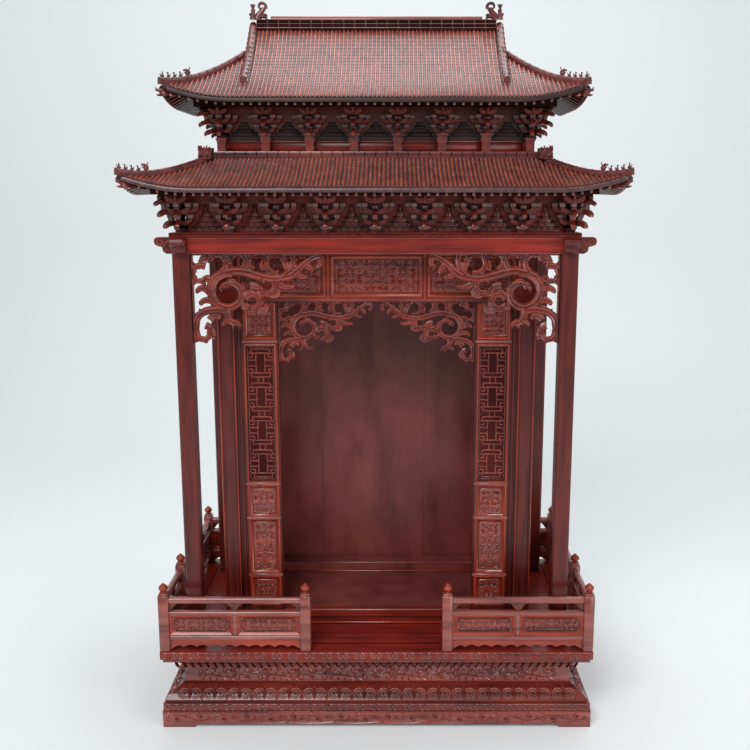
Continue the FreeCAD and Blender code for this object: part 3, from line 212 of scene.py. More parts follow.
class Mesh:
    """Points and faces of one piece, gathered in millimetres."""

    def __init__(self):
        self.points, self.faces, self.tags = [], [], []

    def add(self, points, faces, tag=0):
        start = len(self.points)
        self.points += [tuple(point) for point in points]
        self.faces += [[start + i for i in face] for face in faces]
        self.tags += [tag] * len(faces)

    def loft(self, rings, closed=True, cap=True, tag=0):
        """Skin a row of rings that have the same number of points."""
        count = len(rings[0])
        faces = []
        for r in range(len(rings) - 1):
            for i in range(count if closed else count - 1):
                j = (i + 1) % count
                faces.append((r * count + i, r * count + j, (r + 1) * count + j, (r + 1) * count + i))
        if cap:
            faces.append(tuple(range(count))[::-1])
            faces.append(tuple((len(rings) - 1) * count + i for i in range(count)))
        self.add([point for ring in rings for point in ring], faces, tag)

    def box(self, x, y, z, soft=0.0, tag=0, at=None):
        """A board between three pairs of faces, with its upright and level edges taken off."""
        soft = min(soft, (x[1] - x[0]) / 2.01, (y[1] - y[0]) / 2.01, (z[1] - z[0]) / 2.01)
        rings = []
        for inset, level in ((soft, z[0]), (0, z[0] + soft), (0, z[1] - soft), (soft, z[1])):
            cut = max(soft - inset, 0)
            a, b, c, d = x[0] + inset, x[1] - inset, y[0] + inset, y[1] - inset
            rings.append([(a + cut, c, level), (b - cut, c, level), (b, c + cut, level), (b, d - cut, level),
                          (b - cut, d, level), (a + cut, d, level), (a, d - cut, level), (a, c + cut, level)])
        if at:
            rings = [[at(*point) for point in ring] for ring in rings]
        self.loft(rings, tag=tag)

    def merge(self, other, move):
        """Add another mesh's faces, moved by a function of the point."""
        start = len(self.points)
        self.points += [move(*point) for point in other.points]
        self.faces += [[start + i for i in face] for face in other.faces]
        self.tags += other.tags

    def make(self, name, materials, slot, replaces=(), smooth=None):
        """Finish the piece as an object that belongs to the cabinet."""
        mesh = bpy.data.meshes.new(name)
        mesh.from_pydata([tuple(v * MM for v in point) for point in self.points], [], self.faces)
        mesh.polygons.foreach_set("material_index", self.tags)
        for kind in [materials] if isinstance(materials, str) else materials:
            mesh.materials.append(WOOD[kind])
        work = bmesh.new()
        work.from_mesh(mesh)
        bmesh.ops.recalc_face_normals(work, faces=work.faces)
        work.to_mesh(mesh)
        work.free()
        if smooth:
            mesh.polygons.foreach_set("use_smooth", [True] * len(mesh.polygons))
            mesh.set_sharp_from_angle(angle=math.radians(smooth))
        item = bpy.data.objects.new(name, mesh)
        bpy.context.scene.collection.objects.link(item)
        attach(item, BODY)
        if replaces:
            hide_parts(*replaces)
        return item


def turned(point, angle):
    """A point turned about the upright axis by quarter turns given in degrees."""
    c, s = round(math.cos(math.radians(angle))), round(math.sin(math.radians(angle)))
    x, y, z = point
    return (x * c - y * s, x * s + y * c, z)


SIDES = {"front": 0, "right": 90, "rear": 180, "left": 270}
LONG_SIDES = ("front", "rear")
QUARTERS = [(sx, sy) for sx in (-1, 1) for sy in (-1, 1)]
SQUARE = ((-1, -1), (1, -1), (1, 1), (-1, 1))


def side_size(side, node):
    """Half length and distance of a node's side."""
    high = edges(node)[1]
    return (high.x, high.y) if side in LONG_SIDES else (high.y, high.x)


def shrink(span, by):
    """A span with both of its ends brought in."""
    return (span[0] + by, span[1] - by)


def shifted(at, x0=0.0, y0=0.0, z0=0.0):
    """The same places, moved along each of their directions."""
    return lambda x, y, z: at(x0 + x, y0 + y, z0 + z)


def board_at(at):
    """A place function for boxes given as across, out of the face, and up."""
    return lambda x, y, z: at(x, z, y)


def around(count):
    """The angles of a full turn in equal steps."""
    return [2 * math.pi * k / count for k in range(count)]


def stations(line):
    """Each point of a line with its number and the direction square to the line there."""
    last = len(line) - 1
    for i, (u, w) in enumerate(line):
        before, after = line[max(i - 1, 0)], line[min(i + 1, last)]
        run = math.hypot(after[0] - before[0], after[1] - before[1]) or 1
        yield i, u, w, (before[1] - after[1]) / run, (after[0] - before[0]) / run


def face(side, offset, middle=0.0):
    """Places on one side of the cabinet: u along the face, w up it, h out of it."""
    return lambda u, w, h=0.0: turned((middle + u, -(offset + h), w), SIDES[side])


def leaning_face(side, offset, levels, lean, swell):
    """The same on a moulding that leans in from its foot: w up the slope, h square to it."""
    rise = levels[1] - levels[0]
    length = math.hypot(rise, lean)

    def at(u, w, h=0.0):
        share = w / length
        bulge = swell * math.sin(math.pi * min(max(share, 0), 1))
        out = offset - lean * share + bulge + h * rise / length
        return turned((u, -out, levels[0] + rise * share + h * lean / length), SIDES[side])

    return at


def arc(centre, radius, start, sweep, tighten=1.0, steps=8):
    """Points of an arc that may wind inwards."""
    line = []
    for i in range(steps + 1):
        share = i / steps
        angle = math.radians(start + sweep * share)
        reach = radius * (1 - (1 - tighten) * share * share)
        line.append((centre[0] + reach * math.cos(angle), centre[1] + reach * math.sin(angle)))
    return line


def bend(ends, handles, steps=6):
    """Points along one smooth bend between two ends."""
    line = []
    for i in range(steps + 1):
        t = i / steps
        shares = ((1 - t) ** 3, 3 * t * (1 - t) ** 2, 3 * t * t * (1 - t), t ** 3)
        line.append(tuple(sum(share * point[n] for share, point in zip(shares, (ends[0], *handles, ends[1])))
                          for n in (0, 1)))
    return line


DOME = ((-1, 0), (-0.6, 0.72), (0, 1), (0.6, 0.72), (1, 0))
KEEL = ((-1, 0), (0, 1), (1, 0))


def stroke(mesh, at, line, wide, rise, tag=0, profile=KEEL, ends=(0.35, 0.35), base=0.0):
    """A raised strip along a line on a face, narrower and lower towards its ends."""
    rings = []
    last = len(line) - 1
    for i, u, w, across_u, across_w in stations(line):
        share = i / last
        size = min(1, ends[0] + (1 - ends[0]) * share * 3, ends[1] + (1 - ends[1]) * (1 - share) * 3)
        half = wide / 2 * size
        rings.append([at(u + across_u * half * a, w + across_w * half * a,
                         base + (rise - base) * b * (0.5 + size / 2)) for a, b in profile])
    mesh.loft(rings, closed=False, cap=False, tag=tag)


def leaf(mesh, at, u, w, length, wide, angle, rise, tag=0, bow=0.25):
    """A small pointed leaf with a ridge down its middle."""
    c, s = math.cos(math.radians(angle)), math.sin(math.radians(angle))
    line = [(u + c * length * t - s * length * bow * t * t, w + s * length * t + c * length * bow * t * t)
            for t in (0, 0.33, 0.67, 1)]
    stroke(mesh, at, line, wide, rise, tag, ends=(0.3, 0.05))


def bloom(mesh, at, u, w, size, rise, petals=6, tag=0):
    """A round flower with a domed heart."""
    for i in range(petals):
        leaf(mesh, at, u, w, size, size * 0.75, 360 * i / petals + 90, rise * 0.8, tag, bow=0)
    ring = [(u + size * 0.3 * math.cos(a), w + size * 0.3 * math.sin(a)) for a in around(6)]
    mesh.add([at(*point, rise * 0.4) for point in ring] + [at(u, w, rise * 1.1)],
             [(i, (i + 1) % 6, 6) for i in range(6)], tag)


def border(mesh, at, u, w, profile, tag=0, cant=0.0):
    """A mitred moulding round a panel, given as insets and heights; the corners may be canted."""
    rings = []
    for inset, rise in profile:
        a, b, c, d = u[0] + inset, u[1] - inset, w[0] + inset, w[1] - inset
        corners = [(a, c), (b, c), (b, d), (a, d)]
        if cant:
            corners = [(a + cant, c), (b - cant, c), (b, c + cant), (b, d - cant), (b - cant, d),
                       (a + cant, d), (a, d - cant), (a, c + cant)]
        rings.append([at(x, z, rise) for x, z in corners])
    mesh.loft(rings, cap=False, tag=tag)


def scrollwork(mesh, at, u, w, pitch, rise, tag=0, curl_tag=0):
    """Dense floral carving over a panel: curls, leaves and small blooms, the same on both halves."""
    columns = max(2, round((u[1] - u[0]) / pitch))
    rows = max(1, round((w[1] - w[0]) / pitch))
    step_u, step_w = (u[1] - u[0]) / columns, (w[1] - w[0]) / rows
    size = min(step_u, step_w)
    for i in range((columns + 1) // 2):
        for j in range(rows):
            start, way = random.uniform(0, 360), random.choice((-1, 1))
            kind, jitter = random.random(), random.uniform(-0.12, 0.12)
            for flip in (1, -1) if 2 * i + 1 < columns else (1,):
                middle = (u[0] + u[1]) / 2
                x = middle + flip * (u[0] + step_u * (i + 0.5 + jitter) - middle)
                z = w[0] + step_w * (j + 0.5 - jitter)
                angle = start if flip > 0 else 180 - start
                if kind < 0.22:
                    bloom(mesh, at, x, z, size * 0.45, rise, 5, tag)
                else:
                    stroke(mesh, at, arc((x, z), size * 0.42, angle, 300 * way * flip, 0.3, 6), size * 0.34,
                           rise * 1.2, curl_tag, DOME, ends=(0.6, 0.3))
                for k in (0, 1):
                    leaf(mesh, at, x, z, size * 0.7, size * 0.3, angle + flip * (150 + 130 * k), rise * 0.8,
                         tag)


# Roof slopes, tiles and rafters


class Slope:
    """The tiled surface of one roof, in the terms of its eave: along it, inward from it, above it."""

    SAG = 0.35
    LIFT = 25
    LIFT_LENGTH = 125
    THICKNESS = 8.2

    def __init__(self, front, ends, rise, wall_half_y):
        low = edges(front)[0]
        self.half_x, self.half_y = edges(ends)[1].x, -low.y
        self.eave, self.rise, self.run = low.z + self.THICKNESS, rise, self.half_y - wall_half_y

    def level(self, inward, to_tip):
        share = inward / self.run
        lift = self.LIFT * max(0, 1 - to_tip / self.LIFT_LENGTH) ** 2
        sagging = (1 - self.SAG) * share + self.SAG * share * share
        return self.eave + self.rise * sagging + lift * (1 - share)

    def along_half(self, side):
        return self.half_x if side in LONG_SIDES else self.half_y

    def at(self, side, along, inward, above=0.0):
        offset = self.half_y if side in LONG_SIDES else self.half_x
        z = self.level(inward, self.along_half(side) - abs(along)) + above
        return turned((along, inward - offset, z), SIDES[side])

    def hip(self, sign_x, sign_y):
        """Places on a hip: s in from the corner along the diagonal, a across it, h over the tiles."""
        half = math.sqrt(0.5)

        def at(s, a, h):
            x, y = self.half_x - (s - a) * half, self.half_y - (s + a) * half
            return (sign_x * x, sign_y * y, self.level(max(s, 0) * half, max(s, 0) * half) + h)

        return at


UPPER_WALL = edges("upper_base")[1]
LOWER = Slope("lower_roof_front", "lower_roof_ends", 53.8, UPPER_WALL.y)
UPPER = Slope("upper_roof_front", "upper_roof_ends", 139.5, 0)
GABLE = edges("gable_ridges")[1].x
GABLE_RIDGE = 14.0
SIDE_REACH = UPPER.half_x - GABLE
TILE_PITCH = 7.5
COURSE = 8.0
HIP_HALF = 5.5
BARE_TIP = 15
TILE = [(-1.0, 0.0), (-0.8, 0.62), (-0.3, 0.97), (0.3, 0.97), (0.8, 0.62), (1.0, 0.0)]
LIP = ((0.9, -8.2), (0, -7.2), (0, -2.6), (0.7, -1.2), (1.9, -0.5), (3.1, -0.4))
SLAB_LEAST = 3.2


def slab(mesh, slope, side, low, high, reach_at, tag=1):
    """The board under the tiles, with a rounded lip along the eave and its underside in the shadow wood as
    painted shade.
    """
    count = max(8, round((high - low) / 14))
    (under_in, under), (over_in, over) = LIP[0], LIP[-1]
    runs = len(LIP)
    rings = []
    for i in range(count + 1):
        along = low + (high - low) * i / count
        reach = max(reach_at(along), SLAB_LEAST)
        ring = [slope.at(side, along, inward, above) for inward, above in LIP]
        ring += [slope.at(side, along, over_in + (reach - over_in) * k / runs, over)
                 for k in range(1, runs + 1)]
        ring += [slope.at(side, along, under_in + (reach - under_in) * k / runs, under)
                 for k in range(runs, 0, -1)]
        rings.append(ring)
    first = len(mesh.tags)
    mesh.loft(rings, tag=tag)
    # The underside faces take material 4, the shadow wood: painted shade under the eave.
    for r in range(count):
        for i in range(2 * runs, 3 * runs):
            mesh.tags[first + r * 3 * runs + i] = 4


def tile_rows(mesh, slope, side, reach_at, margin):
    """Half-round tile rows in lapped courses, and the dished pans between them in a darker wood as painted
    shade.
    """
    half = slope.along_half(side)
    count = int((half - margin) / TILE_PITCH)
    radius = 2.5
    lanes = [(i * TILE_PITCH, reach_at(i * TILE_PITCH)) for i in range(-count, count + 1)]
    for along, reach in lanes:
        if reach < COURSE:
            continue
        steps = max(1, round(reach / COURSE))
        for step in range(steps):
            low, high = reach * step / steps, reach * (step + 1) / steps
            start = 1.6 if step == 0 else low - 0.6
            rings = [[slope.at(side, along + across * radius * size, inward, up * radius * size)
                      for across, up in TILE] for inward, size in ((start, 1.0), (high, 0.74))]
            mesh.loft(rings, closed=False, cap=False)
            first = len(mesh.points) - 2 * len(TILE)
            mesh.faces.append([first + i for i in range(len(TILE))])
            mesh.tags.append(2 if step == 0 else 0)
    for (a, reach_a), (b, reach_b) in zip(lanes, lanes[1:]):
        reach = min(reach_a, reach_b)
        steps = max(1, round(reach / COURSE))
        for step in range(steps if reach >= COURSE else 0):
            low, high = reach * step / steps, reach * (step + 1) / steps
            low = max(low, 1.6)
            middle = (a + b) / 2
            points = [slope.at(side, x, y, up) for x, y, up in (
                (a, low, 1.1), (middle, low, 0.6), (b, low, 1.1), (a, high, 0.2), (middle, high, 0),
                (b, high, 0.2), (a, low, -0.4), (middle, low, -0.4), (b, low, -0.4))]
            # The pans take material 3, the dark pan wood: painted shade between the rows.
            mesh.add(points, [(0, 1, 4, 3), (1, 2, 5, 4), (6, 7, 1, 0), (7, 8, 2, 1)], 3)


def roof_pieces():
    """The boards and tiles of both roofs, one piece for each slope or pair of ends."""
    materials = ["tile", "pan", "ridge", "pan", "shadow"]
    ends = Mesh()
    for side in SIDES:
        mesh = ends if side in ("left", "right") else Mesh()
        half = LOWER.along_half(side)

        def reach_at(along, inset=HIP_HALF):
            return min(LOWER.run - 5, half - abs(along) - inset)

        slab(mesh, LOWER, side, BARE_TIP - half, half - BARE_TIP, lambda u: reach_at(u, 3))
        tile_rows(mesh, LOWER, side, reach_at, BARE_TIP + 2)
        if mesh is not ends:
            mesh.make(f"lower_roof_{side}_tiles", materials, "roof", [f"lower_roof_{side}"], 42)
    ends.make("lower_roof_ends_tiles", materials, "roof", ["lower_roof_ends"], 42)

    materials = ["tile", "eave", "ridge", "pan", "shadow"]
    ends = Mesh()
    for side in SIDES:
        if side in LONG_SIDES:
            mesh = Mesh()
            slab(mesh, UPPER, side, -GABLE, GABLE, lambda u: UPPER.run - 1)
            for way in (-1, 1):
                low, high = sorted((way * GABLE, way * (UPPER.half_x - BARE_TIP)))
                slab(mesh, UPPER, side, low, high, lambda u: UPPER.half_x - abs(u) - 3)

            def reach_at(along):
                if abs(along) > GABLE - GABLE_RIDGE:
                    return min(UPPER.half_x - abs(along) - HIP_HALF, SIDE_REACH)
                return UPPER.run - 5

            tile_rows(mesh, UPPER, side, reach_at, BARE_TIP + 2)
            mesh.make(f"upper_roof_{side}_tiles", materials, "roof", [f"upper_roof_{side}"], 42)
        else:
            slab(ends, UPPER, side, BARE_TIP - UPPER.half_y, UPPER.half_y - BARE_TIP,
                 lambda u: min(SIDE_REACH + 8, UPPER.half_y - abs(u) - 3))
            tile_rows(ends, UPPER, side, lambda u: min(SIDE_REACH, UPPER.half_y - abs(u) - HIP_HALF),
                      BARE_TIP + 2)
    ends.make("upper_roof_ends_tiles", materials, "roof", ["upper_roof_ends"], 42)


CLEAR_TIP = 34
RAFTER_PITCH = 15.0
RAFTER_SECTION = ((-2.2, 0), (2.2, 0), (2.2, 6.4), (-2.2, 6.4))


def rafters(name, slope, purlin):
    """Flat rafters with pale ends under the eave, over a board in the shadow wood, painted shade, that closes
    the gap between them.
    """
    mesh = Mesh()
    wall_x, wall_y = purlin[1].x, purlin[1].y
    for side in SIDES:
        half = slope.along_half(side)
        deep = slope.half_y - wall_y if side in LONG_SIDES else slope.half_x - wall_x
        count = int((half - CLEAR_TIP) / RAFTER_PITCH)
        for i in range(-count, count + 1):
            along = i * RAFTER_PITCH
            reach = max(min(deep, half - abs(along) - 4), 9)
            rings = [[slope.at(side, along + across, inward, -slope.THICKNESS - below)
                      for across, below in RAFTER_SECTION]
                     for inward in (5.0, 5.6, reach)]
            mesh.loft(rings)
            mesh.tags[-6:] = [0] * 4 + [1, 0]
            mesh.tags[-10:-6] = [1] * 4
        # The board is the shadow wood: painted shade seen between the rafters.
        rings = []
        for k in range(41):
            along = (half - CLEAR_TIP) * (k / 20 - 1)
            reach = max(min(deep, half - abs(along) - 4), 11)
            rings.append([slope.at(side, along, inward, -slope.THICKNESS - below)
                          for inward, below in ((8.5, 0), (8.5, 5.2), (reach, 5.2), (reach, 0))])
        mesh.loft(rings, tag=2)
    mesh.make(name, ["bracket", "seat", "shadow"], "bracket")


# Ridges, beasts and end ornaments


def tube(mesh, at, line, radius, sides=6, tag=0, taper=1.0):
    """A round bar along (s, h) points in the upright plane of a hip or ridge."""
    rings = []
    last = len(line) - 1
    for i, s, h, across_s, across_h in stations(line):
        size = radius * (1 + (taper - 1) * i / last)
        rings.append([at(s + across_s * size * math.cos(a), size * math.sin(a),
                         h + across_h * size * math.cos(a)) for a in around(sides)])
    mesh.loft(rings, tag=tag)


def lump(mesh, at, s, h, long, tall, wide, tag=0):
    """A small rounded body part, on the hip's own plane."""
    rings = []
    for share, size in ((-1, 0.25), (-0.7, 0.75), (0, 1), (0.7, 0.75), (1, 0.25)):
        rings.append([at(s + long * share, wide * size * math.cos(a), h + tall * size * math.sin(a))
                      for a in around(6)])
    mesh.loft(rings, tag=tag)


def small_beast(mesh, at, s, top, tall, tag=0):
    """A seated animal that looks outwards: haunches, chest, head, ears and tail."""
    lump(mesh, at, s + tall * 0.12, top + tall * 0.26, tall * 0.24, tall * 0.26, tall * 0.2, tag)
    lump(mesh, at, s - tall * 0.08, top + tall * 0.5, tall * 0.15, tall * 0.24, tall * 0.17, tag)
    lump(mesh, at, s - tall * 0.14, top + tall * 0.82, tall * 0.2, tall * 0.15, tall * 0.15, tag)
    tube(mesh, at, [(s + tall * 0.3, top + tall * 0.2), (s + tall * 0.42, top + tall * 0.5),
                    (s + tall * 0.3, top + tall * 0.72)], tall * 0.08, 5, tag, 0.5)
    mesh.box((-0.3 * tall, -0.08 * tall), (-0.1 * tall, 0.1 * tall), (0, 0.34 * tall), 0.2, tag,
             shifted(at, s, 0, top))


def rider(mesh, at, s, top, tall, tag=0):
    """The figure at the tip: a plain robed shape on a bird's back."""
    lump(mesh, at, s, top + tall * 0.25, tall * 0.4, tall * 0.25, tall * 0.2, tag)
    lump(mesh, at, s - tall * 0.38, top + tall * 0.5, tall * 0.12, tall * 0.14, tall * 0.1, tag)
    lump(mesh, at, s + tall * 0.05, top + tall * 0.62, tall * 0.15, tall * 0.24, tall * 0.15, tag)
    lump(mesh, at, s + tall * 0.02, top + tall * 0.9, tall * 0.1, tall * 0.1, tall * 0.1, tag)


def dragon_head(mesh, at, s, h, long, tag=0):
    """A beam end carved as a head: brow, open jaws, horn and beard, looking outwards."""
    lump(mesh, at, s + long * 0.62, h, long * 0.36, long * 0.26, 4.6, tag)
    lump(mesh, at, s + long * 0.28, h + long * 0.1, long * 0.3, long * 0.12, 3.4, tag)
    lump(mesh, at, s + long * 0.3, h - long * 0.18, long * 0.24, long * 0.08, 2.8, tag)
    tube(mesh, at, [(s + long * 0.1, h + long * 0.12), (s, h + long * 0.26)], 1.5, 5, tag, 0.5)
    for side in (-1, 1):
        beside = shifted(at, 0, side * 2.6)
        horn = [(s + long * out, h + long * up) for out, up in ((0.7, 0.2), (0.95, 0.3), (1.15, 0.22))]
        lump(mesh, beside, s + long * 0.5, h + long * 0.22, 2.0, 1.5, 1.3, tag)
        tube(mesh, beside, horn, 1.3, 5, tag, 0.4)


HIP_CREST = 9.0
HIP_START = 4.4
HIP_OUTLINE = ((-4.4, -22), (-4.4, 5.0), (-3.6, 5.6), (-3.6, 6.4), (-2.4, 8.4), (0, HIP_CREST),
               (2.4, 8.4), (3.6, 6.4), (3.6, 5.6), (4.4, 5.0), (4.4, -22))
VERGE_OUTLINE = ((-6.8, -4), (-6.8, 3.4), (-5.6, 4.2), (-5.6, 8.2), (-6.4, 8.8), (-3.6, 11.6), (0, 12.8),
                 (3.6, 11.6), (6.4, 8.8), (5.6, 8.2), (5.6, 4.2), (6.8, 3.4), (6.8, -4))
BEAST_PITCH = 12.0


def hip_ridges(name, slope, reach, node, head_at):
    """The ridge down each hip: a beam, a course of capping tiles, beasts and the head below."""
    end = reach * math.sqrt(2)
    seat = HIP_CREST - 0.6
    beasts = BEAST_PITCH * 5
    mesh = Mesh()
    for sign_x, sign_y in QUARTERS:
        at = slope.hip(sign_x, sign_y)
        rings = []
        for k in range(25):
            s = HIP_START + (end - HIP_START) * k / 24
            foot = -3 - (19 if s < 112 else 11) * min(1, max(0, (s - 12) / 12))
            rings.append([at(s, a, max(h, foot)) for a, h in HIP_OUTLINE])
        mesh.loft(rings)
        for k in range(int((end - beasts) / 16) + 1):
            mesh.box((-1, 1), (-4.2, 4.2), (6.2, 10.2), 0.8, 0, shifted(at, beasts + 8 + k * 16, 0, -0.9))
        rider(mesh, at, 4.6 + BEAST_PITCH * 0.55, seat, 10)
        for i in range(1, 4):
            small_beast(mesh, at, 4.6 + BEAST_PITCH * (i + 0.55), seat, 9.6)
        s = 4.6 + BEAST_PITCH * 4.7
        lump(mesh, at, s + 1, HIP_CREST + 4, 5, 5, 3.6)
        lump(mesh, at, s - 4, HIP_CREST + 9.5, 4.6, 2.6, 2.6)
        lump(mesh, at, s - 3.4, HIP_CREST + 5.4, 3.6, 1.4, 2.2)
        horn = [(s + along, HIP_CREST + up) for along, up in ((2, 8), (5.5, 11.5), (4, 14))]
        tube(mesh, at, horn, 1.4, 5, 0, 0.4)
        dragon_head(mesh, at, head_at, -16, 28)
    mesh.make(name, "ridge", "ridge", [node], 48)


def ridge_courses(mesh, side, half, depth, bottom, top, offset, pitch=19.2):
    """Moulded ridge tiles along one side: a foot strip, a thin course and rounded blocks on top."""
    at = face(side, offset)
    place = board_at(at)
    tall = top - bottom

    def course(low, high, bulge, gap):
        count = max(1, round(2 * half / pitch))
        section = [(-depth, low), (0, low), (bulge, (low + high) / 2), (0, high), (-depth, high)]
        for i in range(count):
            a, b = -half + 2 * half * i / count + gap, -half + 2 * half * (i + 1) / count - gap
            mesh.loft([[at(u, w, h) for h, w in section] for u in (a, b)])

    # The core behind the courses is the shadow wood: painted shade in the gaps between the tiles.
    mesh.box((-half, half), (-depth, -0.9), (bottom, top - 0.8), 0, 1, place)
    mesh.box((-half, half), (-depth, 0.5), (bottom, bottom + tall * 0.14), 0.3, 2, place)
    course(bottom + tall * 0.2, bottom + tall * 0.46, 0.2, 0.6)
    course(bottom + tall * 0.54, top, 1.0, 0.7)


def lower_ridge_band():
    """The ridge tiles round the top of the lower roof."""
    low, high = edges("ridge_band")
    mesh = Mesh()
    for side in SIDES:
        half, offset = side_size(side, "ridge_band")
        ridge_courses(mesh, side, half - 7, 7, low.z + 1, high.z, offset - 1)
    mesh.make("ridge_band_tiles", ["ridge", "shadow", "lip"], "ridge", ["ridge_band"], 40)


def scroll_block(mesh, at, half, tall, tag=0):
    """A pierced square ornament of curls inside a frame, seen on one face."""
    stroke(mesh, at, arc((half * 0.1, tall * 0.55), half * 0.7, 30, 400, 0.2, 12), half * 0.4, 2.0, tag, DOME)
    for u, w, angle in ((-0.6, 0.15, 200), (0.65, 0.15, -20), (-0.6, 0.9, 120), (0.7, 0.92, 40)):
        stroke(mesh, at, arc((half * u, tall * w), half * 0.28, angle, 280, 0.4, 7), half * 0.22, 1.8, tag)


def corner_ornaments():
    """Blocks of scrolls on the corners of the ridge band, with a row of small teeth on top."""
    high = edges("ridge_corner_blocks")[1]
    bottom = edges("ridge_band")[0].z
    size = 24.0
    x0, y0 = high.x - size, high.y - size
    wall_x, wall_y = UPPER_WALL.x - x0, UPPER_WALL.y - y0
    outline = [(wall_x + 0.2, 0), (size - 2, 0), (size - 2, size - 2), (0, size - 2),
               (0, wall_y + 0.2), (wall_x + 0.2, wall_y + 0.2)]
    levels = (bottom, bottom + 10, high.z - 7, high.z - 4)
    rim = (size - 3.6, size - 1.2)
    mesh = Mesh()
    for sx, sy in QUARTERS:
        def place(x, y, z, sx=sx, sy=sy):
            return (sx * (x0 + x), sy * (y0 + y), z)

        mesh.loft([[place(x, y, z) for x, y in outline] for z in levels])
        for k in range(5):
            u = 1 + (size - 5) * k / 4
            z = (high.z - 6, high.z - (0 if k % 2 else 2))
            mesh.box((u, u + 2.6), rim, z, 0.6, 0, place)
            mesh.box(rim, (u, u + 2.6), z, 0.6, 0, place)
        for flip in (False, True):
            def at(u, w, h, flip=flip, place=place):
                spot = (size / 2 - 1 + u, size - 2.1 + h)
                return place(*(spot[::-1] if flip else spot), bottom + w)

            scroll_block(mesh, at, size / 2 - 1, high.z - 4 - bottom)
    mesh.make("corner_scroll_blocks", "ridge", "ridge", ["ridge_corner_blocks"], 45)


def verge_ridges():
    """Ridges down the verges, capped with tiles, each ending in a small upright head."""
    reach = edges("gable_ridges")[1].y
    mesh = Mesh()
    for sx, sy in QUARTERS:
        def place(s, a, h, sx=sx, sy=sy):
            inward = UPPER.half_y - (reach - s)
            return (sx * (GABLE - 7 + a), sy * (reach - s), UPPER.level(inward, UPPER.half_x) + h)

        mesh.loft([[place(reach * k / 12, a, h) for a, h in VERGE_OUTLINE] for k in range(13)])
        for k in range(1, 12):
            mesh.box((-0.8, 0.8), (-6.6, 6.6), (3, 13.0), 1.2, 0, shifted(place, reach * k / 12, 0, -0.2))
        lump(mesh, place, 4, 9.5, 4.6, 3.2, 4.4)
        lump(mesh, place, 2.2, 4.6, 3.2, 1.6, 3.8)
        for side in (-1, 1):
            tube(mesh, shifted(place, 0, side * 3), [(6, 11), (9, 14.4), (12, 14.2)], 1.3, 5, 0, 0.4)
    mesh.make("verge_ridge_tiles", "ridge", "ridge", ["gable_ridges"], 45)


def main_ridge():
    """The main ridge: a core in the shadow wood as painted shade, level bands, upright joints and a round
    cap.
    """
    half = GABLE - GABLE_RIDGE
    bottom, top = UPPER.eave + UPPER.rise - 6, edges("ridge_end_scrolls")[0].z
    joints = 22
    mesh = Mesh()
    for side in ("front", "rear"):
        place = board_at(face(side, 5.4))
        # The core is the shadow wood: painted shade seen between the bands and joints.
        mesh.box((-half, half), (-5.4, 0), (bottom, top), 0, 1, place)
        for low, high, out in ((0.3, 0.36, 1.0), (0.62, 0.68, 1.0), (0.94, 1.0, 1.1)):
            z = (bottom + (top - bottom) * low, bottom + (top - bottom) * high)
            mesh.box((-half, half), (-5, out), z, 0.3, 2, place)
        for i in range(joints + 1):
            u = -half + 2 * half * i / joints
            mesh.box((u - 0.6, u + 0.6), (-5, 0.7), (bottom, top), 0.2, 0, place)
    cap_half = GABLE - 40
    round_top = [math.radians(22.5 * i) for i in range(9)]
    mesh.loft([[(x, 6.4 * math.cos(a), top + 6.4 * math.sin(a)) for a in round_top]
               for x in (-cap_half, cap_half)], tag=2)
    mesh.make("main_ridge_courses", ["ridge", "shadow", "lip"], "ridge", ["main_ridge"], 45)


def ridge_end_scrolls():
    """At each end of the main ridge a rolled fish tail, with leaves at its foot and a cup behind it."""
    low, high = edges("ridge_end_scrolls")
    wide, tall = 36.0, high.z - low.z
    section = ((-1, -0.6), (-0.5, -1), (0.5, -1), (1, -0.6), (1, 0.6), (0.5, 1), (-0.5, 1), (-1, 0.6))
    tail = arc((12.4, tall * 0.7), 7.6, 205, -330, 0.25, 14)
    strips = (
        ([(21, 1), (17.5, 8), (12.5, 14.5), (8, 20)], [15, 12, 8.5, 6.4], 5.6),
        (tail, [6.2 - 0.25 * i for i in range(15)], 5.2),
        ([(3, 1.5), (6, 5), (12, 5.5), (17, 3)], [3, 6, 6, 4], 5.8),
        (arc((5.5, 6.5), 3.6, -60, 250, 0.4, 8), [3.0] * 9, 5.0),
        ([(29, 0), (29, 8), (28.5, 14), (29, 17)], [12, 8, 6, 9], 5.6),
        ([(29, 17), (29, 20), (29, 24), (29, 26.5)], [4.5, 4.2, 8, 9.6], 4.6),
        (arc((33, 9), 2.2, -90, 240, 0.6, 7), [2.2] * 8, 4.4),
    )
    mesh = Mesh()
    for sx in (-1, 1):
        def at(u, y, w, sx=sx):
            return (sx * (GABLE - wide + u), y, low.z + w)

        for line, widths, depth in strips:
            mesh.loft([[at(u + across_u * (widths[i] / 2) * a, depth * b, w + across_w * (widths[i] / 2) * a)
                        for a, b in section] for i, u, w, across_u, across_w in stations(line)])
    mesh.make("ridge_end_tails", "ridge", "ridge", ["ridge_end_scrolls"], 50)


def gable_faces():
    """Pierced-looking boards in the gables: a rim, a hanging drop and scrolls on both sides."""
    low, high = edges("gable_boards")
    foot, top = low.z + 26, high.z - 8
    half = 96
    mesh = Mesh()
    for side in ("left", "right"):
        at = face(side, high.x)
        for flip in (-1, 1):
            line = [(flip * half * (1 - t) ** 1.15, foot + (top - foot) * t)
                    for t in (0.0, 0.25, 0.5, 0.75, 1.0)]
            stroke(mesh, at, line, 5, 1.8, 1, DOME, ends=(1, 1))
            stroke(mesh, at, arc((flip * 34, foot + 18), 11, 90, flip * 380, 0.3, 10), 5, 1.8)
            stroke(mesh, at, arc((flip * 14, foot + 36), 8, 270, flip * 360, 0.3, 9), 4, 1.8)
            stroke(mesh, at, bend(((flip * 60, foot + 5), (flip * 6, foot + 10)),
                                  ((flip * 40, foot + 2), (flip * 20, foot + 2))), 5, 1.8)
        bloom(mesh, at, 0, foot + 22, 11, 2.0, 8)
    mesh.make("gable_carving", ["carved", "edge"], "panel", (), 45)


